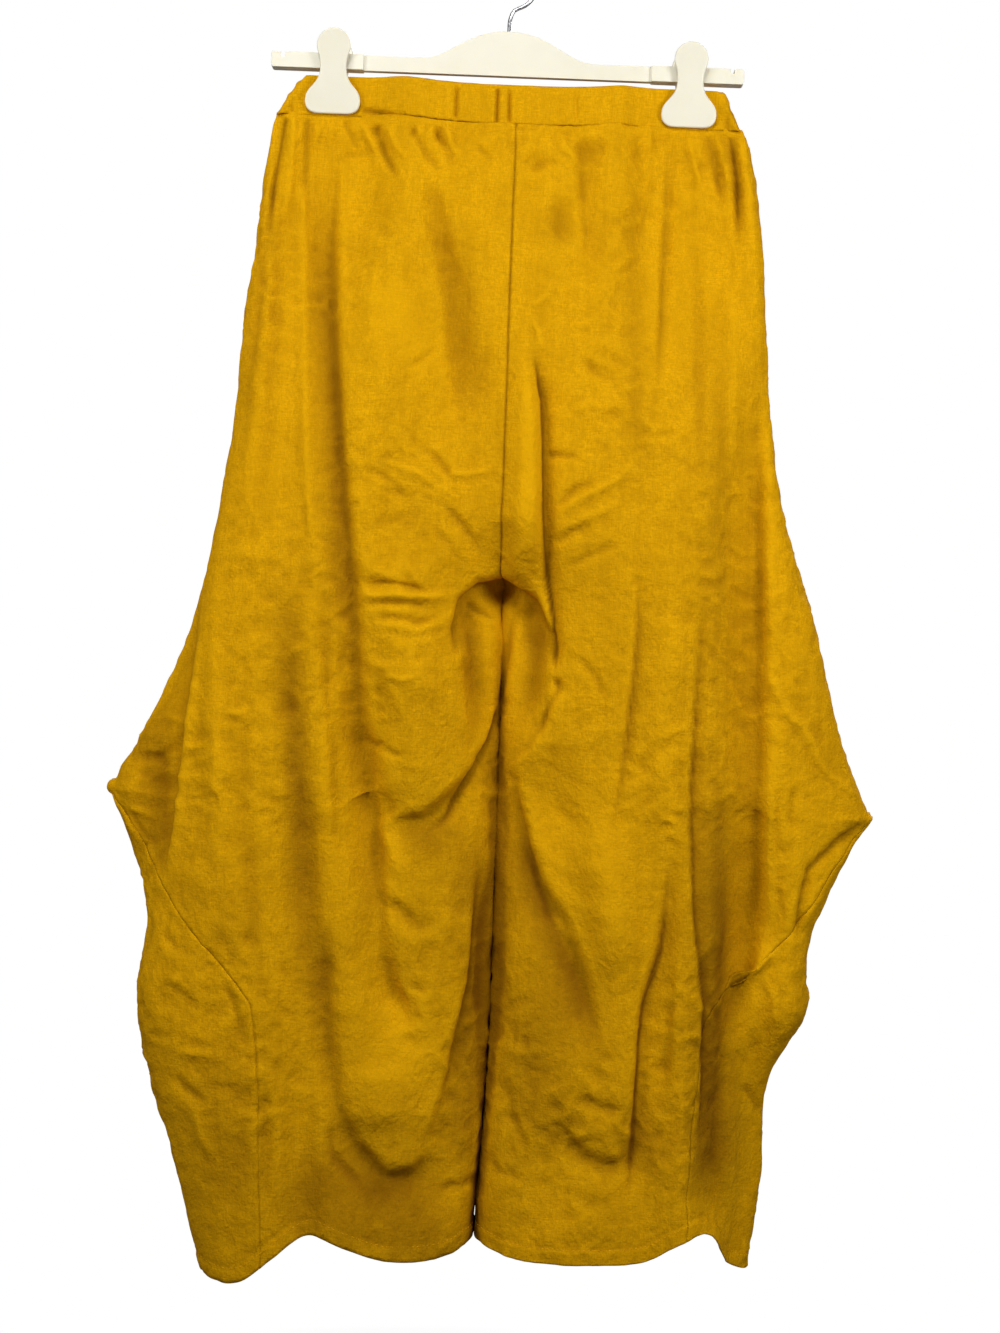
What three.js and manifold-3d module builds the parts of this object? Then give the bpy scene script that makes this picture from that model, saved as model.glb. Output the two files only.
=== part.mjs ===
// Wide-leg trousers with pointed side panels, hanging by the waistband from a plastic clip hanger.
// Millimetres, +Z up, +X to the right as seen from the front, the front facing -Y.
// The origin is the seat of the hanger's hook, where a rail carries it.
// "Left" and "right" are as seen from the front. The cloth panels are thin walls lofted through
// level sections. A section is worked out from the row of SECTIONS at its height, and the large
// folds of FOLDS are pressed into it.
import * as THREE from "three";
import { mergeVertices } from "three/addons/utils/BufferGeometryUtils.js";
import Module from "manifold-3d";

const wasm = await Module();
wasm.setup();

// Cloth
const CLOTH = 1.6; // wall of one layer of cloth with its seam allowances
const BAND_WALL = 2.2; // waistband: two layers round the elastic
const SEAM_GAP = 0.3; // between two panels at a seam
const CENTRE_X = 8.5; // the trousers hang this far right of the hanger's middle
const BAND_BOTTOM = -128;
const CROTCH = -500;
const CROTCH_CURVE = 100; // height over which the centre seams turn under to the crotch
const LEG_GAP = 1.4; // clear space between the two inseams
const LEG_GAP_HEIGHT = 170; // the gap reaches its full width this far below the crotch
const POINT = -657; // height of the pointed side corners
const HEM = -996;
const HEM_TURN = 150; // the hem's dips fade out over this height
const SIDE_HALF_THICKNESS = 3.1; // least distance of a panel's outside from the mid plane
const BAND_HALF_THICKNESS = 2.75;

// Hanger
const BAR_HALF_LENGTH = 184;
const BAR_TOP = -80;
const BAR_HEIGHT = 12;
const PLATE_THICKNESS = 5;
const RAIL_DEPTH = 10; // the thicker ends on which the clips sit
const RAIL_INNER_END = 112;
const BAR_CORNER = 2.5;
const HUMP_HALF_WIDTH = 66;
const HUMP_RISE = 23;
const NOTCH = { x: 175, width: 3, depth: 4 };
const WIRE_RADIUS = 1.5;
const HOOK_RADIUS = 20.5; // to the middle of the wire
const HOOK_SOCKET = 12; // depth of the wire in the hump
const SOCKET_CLEARANCE = 0.3;

// Clips
const CLIP_X = { left: -135, right: 142 };
const CLIP_TOP = -62;
const CLIP_BOTTOM = -127;
const CLIP_PLATE = 3;
const CLIP_PINCH = BAND_HALF_THICKNESS + SEAM_GAP; // inner face of a jaw at its foot
const CLIP_SPREAD = 8.5; // the plates lean apart by this much at the top, on each side
const FINGER_RADIUS = 13.2;
const NECK_HALF_WIDTH = 10.1;
const JAW_HALF_WIDTH = 21.5;
const JAW_CORNER = 10;
const JAW_TOP = 21; // heights above the foot of the clip
const NECK_Z = 35;
const SADDLE_WIDTH = 15;
const SADDLE_TOP = -75.5;
const SADDLE_BOTTOM = -95;
const SPRING_RADIUS = 3.6;
const SPRING_Z = -70;

// Rows of values under named columns.
const table = (names, ...rows) =>
  rows.map((row) => Object.fromEntries(names.map((name, i) => [name, row[i]])));

// One row for each level section. middle is how far right of CENTRE_X the centre seam or the
// inseams lie. left and right are the half widths from CENTRE_X, and the wings reach further out
// to the side points. front and back are the depths from the mid plane. inner and outer say how
// round the section is at the inseam and at the side: small is square, large is pointed. seam is
// how far from CENTRE_X the side panel is sewn to the front and back.
const SECTIONS = table(
  ["z", "middle", "left", "leftWing", "right", "rightWing", "front", "back", "inner", "outer", "seam"],
  [-97, 0, 166.5, 0, 160, 0, 8, 8, 2, 0.6, 300],
  [-107, 0, 174.5, 0, 166, 0, 9, 8, 2, 0.6, 300],
  [-117, 0, 180.5, 0, 170, 0, 10, 9, 2, 0.6, 300],
  [-128, 0, 187, 0, 175.5, 0, 11, 11, 2, 0.6, 300],
  [-140, 0, 189.5, 0, 180.5, 0, 13, 14, 2, 0.6, 300],
  [-165, 0, 194, 0, 187, 0, 18, 19, 2, 0.6, 300],
  [-215, 0, 198.5, 0, 194.5, 0, 26, 29, 2, 0.6, 300],
  [-290, 0, 205.5, 0, 200.5, 0, 36, 40, 2, 0.6, 300],
  [-365, 0, 210, 0, 207.5, 0, 43, 48, 2, 0.62, 300],
  [-440, 0.5, 219, 0, 223, 0, 48, 53, 1.3, 0.65, 300],
  [-500, 3.5, 227, 3, 238, 4, 50, 55, 1.2, 0.65, 300],
  [-540, 5, 231, 11.5, 245, 10, 51, 56, 1.05, 0.65, 300],
  [-575, 5.5, 236, 19, 250, 14.5, 52, 56, 0.9, 0.68, 300],
  [-610, 5.7, 241, 30, 254, 22.5, 53, 57, 0.75, 0.72, 300],
  [-640, 5.8, 246, 44.5, 256, 34, 54, 57, 0.66, 0.8, 300],
  [-657, 5.9, 249, 50.5, 257, 41.5, 54, 57, 0.63, 0.8, 299.4],
  [-660, 5.9, 249.5, 49, 257, 41.3, 54, 57, 0.625, 0.8, 298.1],
  [-674, 6, 251, 38, 256, 32, 54, 57, 0.6, 0.78, 284],
  [-700, 6, 253, 24, 253, 21.5, 55, 58, 0.57, 0.72, 265],
  [-730, 6.1, 254, 11, 249, 11.5, 56, 58, 0.52, 0.65, 246],
  [-760, 6.2, 255, 4, 245, 4.5, 57, 58, 0.5, 0.6, 221],
  [-790, 6.4, 263.5, 0, 250, 0, 58, 59, 0.5, 0.6, 190],
  [-812, 6.5, 266, 0, 250, 0, 59, 59, 0.5, 0.6, 172],
  [-850, 6.2, 261.5, 0, 227, 0, 60, 60, 0.5, 0.6, 166],
  [-890, 5, 248.5, 0, 221, 0, 61, 60, 0.5, 0.6, 163],
  [-930, 3, 232, 0, 222, 0, 62, 61, 0.5, 0.6, 161],
  [-970, 1, 218, 0, 215.5, 0, 63, 61, 0.5, 0.6, 159],
  [-996, 0.5, 210, 0, 212, 0, 64, 62, 0.5, 0.6, 158],
);

// One row for each large fold. It runs from (x, z) to (toX, toZ) on the front or the back, bowed
// sideways by bow. A positive height is a ridge that stands out, a negative one a trough. fadeTop
// and fadeEnd are the shares of its length over which it dies away.
const FOLDS = table(
  ["face", "x", "z", "toX", "toZ", "bow", "width", "height", "fadeTop", "fadeEnd"],
  // Front of the left leg
  ["front", -155, -150, -146, -520, 6, 15, -7, 0.3, 0.3],
  ["front", -108, -170, -96, -420, -4, 22, 5, 0.3, 0.3],
  ["front", -57, -185, -14, -430, 6, 14, -6, 0.2, 0.4],
  ["front", 20, -275, 27, -490, 3, 11, 8, 0.35, 0.1],
  ["front", -98, -520, -80, -745, -6, 17, -11, 0.3, 0.25],
  ["front", -52, -520, -50, -690, -6, 30, 9, 0.4, 0.4],
  ["front", -188, -560, -178, -800, 4, 26, 7, 0.3, 0.3],
  ["front", -133, -620, -118, -990, 3, 15, -10, 0.3, 0],
  ["front", -80, -745, -38, -840, 8, 13, -11, 0.2, 0.25],
  ["front", -96, -915, -30, -955, 10, 14, -7, 0.3, 0.3],
  ["front", -30, -955, 0, -880, 7, 14, -7, 0.2, 0.3],
  ["front", -250, -560, -266, -735, 0, 12, -9, 0.4, 0.3],
  // Front of the right leg
  ["front", 60, -150, 76, -330, 3, 14, -5, 0.3, 0.4],
  ["front", 113, -200, 122, -420, 2, 13, 5, 0.3, 0.3],
  ["front", 176, -240, 206, -640, -4, 15, -9, 0.5, 0.1],
  ["front", 206, -610, 214, -985, -5, 17, -24, 0.4, 0],
  ["front", 152, -640, 168, -1000, 8, 18, 8, 0.3, 0],
  ["front", 134, -640, 146, -940, 0, 12, -9, 0.3, 0.2],
  ["front", 36, -600, 106, -880, -14, 16, -10, 0.2, 0.25],
  ["front", 80, -640, 112, -890, -4, 22, 9, 0.3, 0.3],
  ["front", 36, -880, 112, -950, 14, 14, -8, 0.3, 0.2],
  ["front", 112, -950, 134, -900, 6, 12, -6, 0.2, 0.3],
  // Back of both legs
  ["back", -142, -150, -150, -560, -5, 17, -8, 0.2, 0.4],
  ["back", -96, -140, -104, -500, 5, 18, 7, 0.1, 0.4],
  ["back", -46, -145, -58, -470, 4, 16, -6, 0.2, 0.4],
  ["back", 58, -145, 66, -450, -4, 17, -6, 0.2, 0.4],
  ["back", 108, -140, 122, -520, -5, 18, 7, 0.1, 0.4],
  ["back", 156, -150, 170, -560, 5, 16, -8, 0.2, 0.3],
  ["back", -92, -560, -122, -1000, 8, 20, -12, 0.3, 0],
  ["back", -170, -600, -178, -1000, -6, 18, -13, 0.3, 0],
  ["back", -34, -600, -52, -1000, 6, 18, 9, 0.3, 0],
  ["back", 58, -590, 72, -1000, -8, 18, -11, 0.3, 0],
  ["back", 118, -560, 130, -1000, 6, 20, 9, 0.3, 0],
  ["back", 176, -600, 182, -1000, 5, 18, -14, 0.3, 0],
);

// Height of the hem above (+) or below (-) HEM along the width, on the front and on the back.
const HEM_LINE = {
  front: table(
    ["x", "rise"],
    [-230, -22],
    [-190, -24],
    [-168, -26],
    [-145, -8],
    [-115, 14],
    [-90, 8],
    [-55, -2],
    [-15, -1],
    [8, 7],
    [45, 1],
    [105, 2],
    [140, 7],
    [163, 21],
    [186, 27],
    [200, 4],
    [214, -10],
    [235, -8],
  ),
  back: table(
    ["x", "rise"],
    [-230, -20],
    [-170, 2],
    [-110, -4],
    [-50, 4],
    [8, 2],
    [60, -4],
    [120, 5],
    [180, -3],
    [235, -8],
  ),
};

const WING_ANGLE = { left: 0.3, right: 0.46 }; // how far round the section a side point reaches, in radians
const PINCH_FLAT = 25; // the clips press the cloth flat this far to either side of their middle
const PINCH_FADE = 62; // and it is full again this far from it
const PINCH_END = -380; // height at which the cloth no longer shows the clips' pinch
const TOP_SAG = 4; // the waist sags this much between the clips
const SAG_END = -300;
const BAND_GATHER = 1.1; // height of the gathers of the elastic band, one on every other column
const BAND_COLUMNS = { front: 60, back: 76 };
const HIP_GATHERS = { pitch: 48, height: 3, end: -250 };

const SAMPLES = 160; // points worked out along each face of a section before it is spaced evenly
const COLUMNS = 15; // cells across a front or back panel
const SIDE_COLUMNS = 11;
const ROW_SPACING = 40; // greatest height of a cell

const clamp01 = (t) => Math.min(1, Math.max(0, t));
const smooth = (from, to, v) => {
  const t = clamp01((v - from) / (to - from));
  return t * t * (3 - 2 * t);
};

// A smooth curve through rows[i][name] over rows[i][key], which may run up or down.
function through(rows, key, name, at) {
  const down = rows[0][key] > rows[rows.length - 1][key];
  const place = down ? -at : at;
  const knot = (i) => (down ? -rows[i][key] : rows[i][key]);
  let i = 0;
  while (i < rows.length - 2 && place > knot(i + 1)) i++;
  const span = knot(i + 1) - knot(i);
  const t = clamp01((place - knot(i)) / span);
  const slope = (j) => {
    const a = Math.max(0, j - 1);
    const b = Math.min(rows.length - 1, j + 1);
    return (rows[b][name] - rows[a][name]) / (knot(b) - knot(a));
  };
  const [p, q] = [rows[i][name], rows[i + 1][name]];
  const [m, n] = [slope(i) * span, slope(i + 1) * span];
  return (
    p * (1 + 2 * t) * (1 - t) ** 2 + m * t * (1 - t) ** 2 + q * t * t * (3 - 2 * t) - n * t * t * (1 - t)
  );
}

const section = (name, z) => through(SECTIONS, "z", name, z);

// Height of the folds of one face at (x, z).
function foldHeight(face, x, z) {
  let sum = 0;
  for (const f of FOLDS) {
    if (f.face !== face) continue;
    const [dx, dz] = [f.toX - f.x, f.toZ - f.z];
    const length = Math.hypot(dx, dz);
    const along = ((x - f.x) * dx + (z - f.z) * dz) / length ** 2;
    const t = clamp01(along);
    const beyond = Math.abs(along - t) * length;
    const across = ((x - f.x) * dz - (z - f.z) * dx) / length - f.bow * 4 * t * (1 - t);
    const far = (across ** 2 + beyond ** 2) / f.width ** 2;
    if (far > 9) continue;
    const start = f.fadeTop > 0 ? smooth(0, f.fadeTop, t) : 1;
    const end = f.fadeEnd > 0 ? smooth(0, f.fadeEnd, 1 - t) : 1;
    sum += f.height * Math.exp(-far) * start * end;
  }
  return sum;
}

// How much of the depth is left near the clips, which press the front on the back.
function pinched(x, z) {
  const grip = 1 - smooth(BAND_BOTTOM, PINCH_END, z);
  const near = (clipX) => 1 - smooth(PINCH_FLAT, PINCH_FADE, Math.abs(x - clipX));
  return 1 - grip * (near(CLIP_X.left) + near(CLIP_X.right));
}

// Soft gathers of the back below the elastic, dying away towards the hip.
function hipGathers(x, z) {
  const fade = smooth(HIP_GATHERS.end, BAND_BOTTOM, z) * smooth(5, 20, Math.abs(x - CENTRE_X));
  return (HIP_GATHERS.height * fade * (1 + Math.cos((2 * Math.PI * x) / HIP_GATHERS.pitch))) / 2;
}

// A point of the cloth's outside. turn runs from 0 at the centre or the inseam to PI at the side.
function clothPoint({ side, face, half }, turn, z) {
  const outward = side === "left" ? -1 : 1;
  const toward = face === "front" ? -1 : 1;
  const fromSide = Math.PI - turn;
  const round = (1 - Math.cos(turn)) / 2;
  const gap = (LEG_GAP / 2) * smooth(CROTCH, CROTCH - LEG_GAP_HEIGHT, z);
  const wing = section(side + "Wing", z) * Math.exp(-((fromSide / WING_ANGLE[side]) ** 2));
  const middle = CENTRE_X + section("middle", z) * (1 - round);
  const x = middle + outward * (SEAM_GAP / 2 + gap + (section(side, z) - gap) * round + wing);
  const open = Math.max(0, Math.sin(turn));
  const apart = turn < Math.PI / 2 ? smooth(CROTCH + CROTCH_CURVE, CROTCH, z) ** 2 : 1;
  const power = THREE.MathUtils.lerp(section("inner", z), section("outer", z), smooth(0.3, 0.7, round));
  const fullness = Math.sqrt(1 - apart * (1 - open ** (2 * power)));
  const leastDepth = half * Math.sqrt(1 - apart * (1 - open ** 0.3));
  const folds = foldHeight(face, x, z) * smooth(0, 0.5, open + 1 - apart) * clamp01(section(face, z) / 30);
  const gathers = face === "back" ? hipGathers(x, z) : 0;
  const swell = (section(face, z) * fullness + folds + gathers) * pinched(x, z);
  const y = toward * Math.max(SEAM_GAP / 2, leastDepth + Math.max(0, swell));
  const across = Math.cos(((x - CENTRE_X) / 150) * (Math.PI / 2));
  const sag = TOP_SAG * smooth(0.55, 1, across) * smooth(SAG_END, BAND_BOTTOM, z);
  const hemFront = through(HEM_LINE.front, "x", "rise", x);
  const hemBack = through(HEM_LINE.back, "x", "rise", x);
  const hem = THREE.MathUtils.lerp(hemFront, hemBack, smooth(-25, 25, y)) * smooth(HEM + HEM_TURN, HEM, z);
  return new THREE.Vector3(x, y, z - sag + hem);
}

// The same, for a turn that runs past either end and into the panel sewn on there.
function clothPointBeyond(panel, turn, z) {
  const otherFace = panel.face === "front" ? "back" : "front";
  const otherSide = panel.side === "left" ? "right" : "left";
  if (turn > Math.PI) return clothPoint({ ...panel, face: otherFace }, 2 * Math.PI - turn, z);
  if (turn >= 0) return clothPoint(panel, turn, z);
  return clothPoint(z > CROTCH ? { ...panel, side: otherSide } : { ...panel, face: otherFace }, -turn, z);
}

// The way the cloth's outside faces. At a seam it lies in the plane of the seam, so that the
// edges of the two panels stay parallel.
function clothNormal(panel, turn, z) {
  const step = 0.06;
  const across = clothPointBeyond(panel, turn + step, z).sub(clothPointBeyond(panel, turn - step, z));
  const down = clothPoint(panel, turn, z - 3).sub(clothPoint(panel, turn, z + 3));
  const normal = across.cross(down);
  if ((panel.side === "left") !== (panel.face === "front")) normal.negate();
  if (turn === 0 && z > CROTCH) normal.x = 0;
  if ((turn === 0 && z <= CROTCH) || turn === Math.PI) normal.y = 0;
  if (z >= BAND_BOTTOM - SEAM_GAP) normal.z = 0;
  return normal.normalize();
}

// One face of a section of one leg, with the length along it at each of its points.
function traced(side, face, z, half = SIDE_HALF_THICKNESS) {
  const panel = { side, face, half };
  const turns = Array.from({ length: SAMPLES + 1 }, (_, i) => (Math.PI * i) / SAMPLES);
  const points = turns.map((turn) => clothPoint(panel, turn, z));
  const lengths = [0];
  for (let i = 1; i <= SAMPLES; i++) lengths.push(lengths[i - 1] + points[i].distanceTo(points[i - 1]));
  return { panel, z, turns, points, lengths, total: lengths[SAMPLES] };
}

// The place at one length along a traced face.
function placeAt(face, length) {
  let i = 1;
  while (i < SAMPLES && face.lengths[i] < length) i++;
  const t = clamp01((length - face.lengths[i - 1]) / (face.lengths[i] - face.lengths[i - 1]));
  const turn = t === 1 ? face.turns[i] : THREE.MathUtils.lerp(face.turns[i - 1], face.turns[i], t);
  return { point: clothPoint(face.panel, turn, face.z), normal: clothNormal(face.panel, turn, face.z) };
}

// The length along a traced face at which the side panel is sewn on.
function seamLength(face) {
  if (face.z >= POINT) return face.total;
  const reach = section("seam", face.z);
  const reachOf = (i) => Math.abs(face.points[i].x - CENTRE_X);
  let i = 1;
  while (i < SAMPLES && reachOf(i) < reach) i++;
  const t = clamp01((reach - reachOf(i - 1)) / (reachOf(i) - reachOf(i - 1)));
  return THREE.MathUtils.lerp(face.lengths[i - 1], face.lengths[i], t);
}

// The heights at which the cloth is worked out: those of SECTIONS, closer steps round the
// crotch curve, and more where they are far apart.
function clothHeights() {
  const curveTop = CROTCH + CROTCH_CURVE;
  const curve = [0, 0.3, 0.55, 0.75, 0.9, 1].map((t) => curveTop - CROTCH_CURVE * t);
  const plain = SECTIONS.map((row) => row.z).filter((z) => z < BAND_BOTTOM && (z > curveTop || z < CROTCH));
  const knots = [BAND_BOTTOM - SEAM_GAP, ...plain, ...curve].sort((a, b) => b - a);
  return knots.flatMap((z, i) => {
    if (i === knots.length - 1) return [z];
    const parts = Math.ceil((z - knots[i + 1]) / ROW_SPACING);
    return Array.from({ length: parts }, (_, k) => z + ((knots[i + 1] - z) * k) / parts);
  });
}

// A closed wall from rows of places on its outside. relief(i, j) raises only its outer points.
function wall(rows, thickness, relief = () => 0) {
  const columns = rows[0].length;
  const position = [];
  for (const inside of [false, true]) {
    rows.forEach((row, i) =>
      row.forEach(({ point, normal }, j) => {
        const offset = inside ? -thickness : relief(i, j);
        position.push(...point.clone().addScaledVector(normal, offset).toArray());
      }),
    );
  }
  const [a, b, c] = [rows[1][1], rows[1][2], rows[2][1]].map((place) => place.point.clone());
  const facing = b.sub(a).cross(c.sub(a)).dot(rows[1][1].normal);
  const index = [];
  const quad = (p, q, r, s) => index.push(...(facing > 0 ? [p, q, r, p, r, s] : [p, r, q, p, s, r]));
  const outer = (i, j) => i * columns + j;
  const inner = (i, j) => (rows.length + i) * columns + j;
  const [lastRow, lastColumn] = [rows.length - 1, columns - 1];
  for (let i = 0; i < lastRow; i++) {
    for (let j = 0; j < lastColumn; j++) {
      quad(outer(i, j), outer(i, j + 1), outer(i + 1, j + 1), outer(i + 1, j));
      quad(inner(i, j), inner(i + 1, j), inner(i + 1, j + 1), inner(i, j + 1));
    }
    quad(outer(i, 0), outer(i + 1, 0), inner(i + 1, 0), inner(i, 0));
    quad(outer(i, lastColumn), inner(i, lastColumn), inner(i + 1, lastColumn), outer(i + 1, lastColumn));
  }
  for (let j = 0; j < lastColumn; j++) {
    quad(outer(0, j), inner(0, j), inner(0, j + 1), outer(0, j + 1));
    quad(outer(lastRow, j), outer(lastRow, j + 1), inner(lastRow, j + 1), inner(lastRow, j));
  }
  const geometry = new THREE.BufferGeometry();
  geometry.setAttribute("position", new THREE.Float32BufferAttribute(position, 3));
  geometry.setIndex(index);
  return geometry;
}

// A front or back panel of one leg, from the waist seam to the hem.
function legPanel(side, face) {
  const rows = clothHeights().map((z) => {
    const line = traced(side, face, z);
    const end = z >= POINT ? line.total : seamLength(line) - SEAM_GAP / 2;
    return Array.from({ length: COLUMNS + 1 }, (_, j) => placeAt(line, (end * j) / COLUMNS));
  });
  return wall(rows, CLOTH);
}

// The pointed panel let into the side of a leg, between front and back, from the point to the hem.
function sidePanel(side) {
  const rows = clothHeights().filter((z) => z < POINT).map((z) => {
    const [front, back] = [traced(side, "front", z), traced(side, "back", z)];
    const onFront = front.total - seamLength(front) - SEAM_GAP / 2;
    const onBack = back.total - seamLength(back) - SEAM_GAP / 2;
    return Array.from({ length: SIDE_COLUMNS + 1 }, (_, j) => {
      const along = ((onFront + onBack) * j) / SIDE_COLUMNS - onFront;
      return along < 0 ? placeAt(front, front.total + along) : placeAt(back, back.total - along);
    });
  });
  return wall(rows, CLOTH);
}

// Front or back of the waistband, from side fold to side fold, gathered where the elastic pulls it.
function waistband(face) {
  const columns = BAND_COLUMNS[face];
  const rows = SECTIONS.filter((row) => row.z >= BAND_BOTTOM).map(({ z }) => {
    const left = traced("left", face, z, BAND_HALF_THICKNESS);
    const right = traced("right", face, z, BAND_HALF_THICKNESS);
    return Array.from({ length: columns + 1 }, (_, j) => {
      const along = ((left.total + right.total) * j) / columns - left.total;
      return along < 0 ? placeAt(left, -along) : placeAt(right, along);
    });
  });
  const gather = (i, j) => {
    const x = rows[i][j].point.x;
    const flat = face === "front" && x > CLIP_X.left && x < CLIP_X.right;
    const underClip = [CLIP_X.left, CLIP_X.right].some((clipX) => Math.abs(x - clipX) < PINCH_FLAT);
    if (flat || underClip) return 0;
    const fade = i === 0 || i === rows.length - 1 ? 0.5 : 1;
    return j % 2 ? BAND_GATHER * fade : 0;
  };
  return wall(rows, BAND_WALL, gather);
}

// manifold-3d joins and cuts here; the shapes come from three.js.
function toSolid(geometry) {
  const bare = geometry.index ? geometry.toNonIndexed() : geometry.clone();
  for (const name of Object.keys(bare.attributes)) if (name !== "position") bare.deleteAttribute(name);
  const merged = mergeVertices(bare, 1e-3);
  return new wasm.Manifold(
    new wasm.Mesh({
      numProp: 3,
      vertProperties: merged.attributes.position.array,
      triVerts: new Uint32Array(merged.index.array),
    }),
  );
}

function toGeometry(solid) {
  const mesh = solid.getMesh();
  const geometry = new THREE.BufferGeometry();
  geometry.setAttribute("position", new THREE.BufferAttribute(mesh.vertProperties, 3));
  geometry.setIndex(new THREE.BufferAttribute(mesh.triVerts, 1));
  return geometry;
}

// An outline in X and Z given depth along Y, centred on y.
function plate(shape, depth, y = 0, curveSegments = 10) {
  const geometry = new THREE.ExtrudeGeometry(shape, { depth, bevelEnabled: false, curveSegments });
  return geometry.rotateX(Math.PI / 2).translate(0, y + depth / 2, 0);
}

// The hanger's bar: a flat plate with a low hump at the middle and thicker rails for the clips.
function hangerBar() {
  const bottom = BAR_TOP - BAR_HEIGHT;
  const corner = BAR_CORNER;
  const outline = new THREE.Shape();
  outline.moveTo(-BAR_HALF_LENGTH + corner, bottom);
  outline.lineTo(BAR_HALF_LENGTH - corner, bottom);
  outline.quadraticCurveTo(BAR_HALF_LENGTH, bottom, BAR_HALF_LENGTH, bottom + corner);
  outline.lineTo(BAR_HALF_LENGTH, BAR_TOP);
  outline.lineTo(HUMP_HALF_WIDTH, BAR_TOP);
  const shoulder = HUMP_HALF_WIDTH / 2;
  const crest = BAR_TOP + HUMP_RISE;
  outline.bezierCurveTo(shoulder + 12, BAR_TOP + 1, shoulder, crest, 0, crest);
  outline.bezierCurveTo(-shoulder, crest, -shoulder - 12, BAR_TOP + 1, -HUMP_HALF_WIDTH, BAR_TOP);
  outline.lineTo(-BAR_HALF_LENGTH, BAR_TOP);
  outline.lineTo(-BAR_HALF_LENGTH, bottom + corner);
  outline.quadraticCurveTo(-BAR_HALF_LENGTH, bottom, -BAR_HALF_LENGTH + corner, bottom);
  let bar = toSolid(plate(outline, PLATE_THICKNESS));
  for (const outward of [-1, 1]) {
    const rail = new THREE.Shape();
    const [inner, outer] = [outward * RAIL_INNER_END, outward * BAR_HALF_LENGTH];
    rail.moveTo(inner, BAR_TOP);
    rail.lineTo(inner, bottom);
    rail.lineTo(outer - outward * corner, bottom);
    rail.quadraticCurveTo(outer, bottom, outer, bottom + corner);
    rail.lineTo(outer, BAR_TOP);
    bar = bar.add(toSolid(plate(rail, RAIL_DEPTH)));
    const notch = new THREE.BoxGeometry(NOTCH.width, RAIL_DEPTH + 2, NOTCH.depth * 2);
    bar = bar.subtract(toSolid(notch.translate(outward * NOTCH.x, 0, BAR_TOP)));
  }
  const socket = new THREE.CylinderGeometry(
    WIRE_RADIUS + SOCKET_CLEARANCE,
    WIRE_RADIUS + SOCKET_CLEARANCE,
    HOOK_SOCKET * 2,
    16,
  );
  return toGeometry(bar.subtract(toSolid(socket.rotateX(Math.PI / 2).translate(0, 0, crest))));
}

// The wire hook: a straight shank out of the hump, then three quarters of a turn over the rail.
function hangerHook() {
  const crest = BAR_TOP + HUMP_RISE;
  const centreZ = -HOOK_RADIUS + WIRE_RADIUS;
  const path = new THREE.CurvePath();
  const start = new THREE.Vector3(0, 0, crest - HOOK_SOCKET + SOCKET_CLEARANCE);
  const bend = new THREE.Vector3(0, 0, centreZ - HOOK_RADIUS - 9);
  const onLoop = (degrees) => {
    const a = THREE.MathUtils.degToRad(degrees);
    return new THREE.Vector3(HOOK_RADIUS * Math.cos(a), 0, centreZ + HOOK_RADIUS * Math.sin(a));
  };
  path.add(new THREE.LineCurve3(start, bend));
  const loop = Array.from({ length: 9 }, (_, i) => onLoop(-52 + (i * 222) / 8));
  const rise = new THREE.Vector3(3, 0, centreZ - HOOK_RADIUS - 1);
  path.add(new THREE.CatmullRomCurve3([bend, rise, ...loop]));
  const round = new THREE.Shape().absarc(0, 0, WIRE_RADIUS, 0, 2 * Math.PI);
  const options = { extrudePath: path, steps: 40, curveSegments: 4, bevelEnabled: false };
  return new THREE.ExtrudeGeometry(round, options);
}

// Outline of a clip's plate: a round finger pad, a neck, and a wide jaw with round corners.
function clipOutline() {
  const padZ = CLIP_TOP - CLIP_BOTTOM - FINGER_RADIUS;
  const padStart = -0.35; // angle at which the neck meets the pad, in radians
  const [padX, padFoot] = [FINGER_RADIUS * Math.cos(padStart), padZ + FINGER_RADIUS * Math.sin(padStart)];
  const shape = new THREE.Shape();
  shape.moveTo(-JAW_HALF_WIDTH + JAW_CORNER, 0);
  shape.lineTo(JAW_HALF_WIDTH - JAW_CORNER, 0);
  shape.quadraticCurveTo(JAW_HALF_WIDTH, 0.6, JAW_HALF_WIDTH, JAW_CORNER);
  shape.bezierCurveTo(JAW_HALF_WIDTH, JAW_TOP, NECK_HALF_WIDTH, JAW_TOP, NECK_HALF_WIDTH, NECK_Z);
  shape.quadraticCurveTo(NECK_HALF_WIDTH, NECK_Z + 7, padX, padFoot);
  shape.absarc(0, padZ, FINGER_RADIUS, padStart, Math.PI - padStart, false);
  shape.quadraticCurveTo(-NECK_HALF_WIDTH, NECK_Z + 7, -NECK_HALF_WIDTH, NECK_Z);
  shape.bezierCurveTo(-NECK_HALF_WIDTH, JAW_TOP, -JAW_HALF_WIDTH, JAW_TOP, -JAW_HALF_WIDTH, JAW_CORNER);
  shape.quadraticCurveTo(-JAW_HALF_WIDTH, 0.6, -JAW_HALF_WIDTH + JAW_CORNER, 0);
  return shape;
}

// Distance of a clip plate's inner face from the mid plane at height z.
const clipInside = (z) => CLIP_PINCH + (CLIP_SPREAD * (z - CLIP_BOTTOM)) / (CLIP_TOP - CLIP_BOTTOM);

// One plate of a clip, leaning out towards its finger pad.
function clipPlate(clipX, toward) {
  const lean = Math.atan2(CLIP_SPREAD, CLIP_TOP - CLIP_BOTTOM);
  const geometry = plate(clipOutline(), CLIP_PLATE, toward * (CLIP_PLATE / 2), 8);
  return geometry.rotateX(-toward * lean).translate(clipX, toward * CLIP_PINCH, CLIP_BOTTOM);
}

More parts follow.
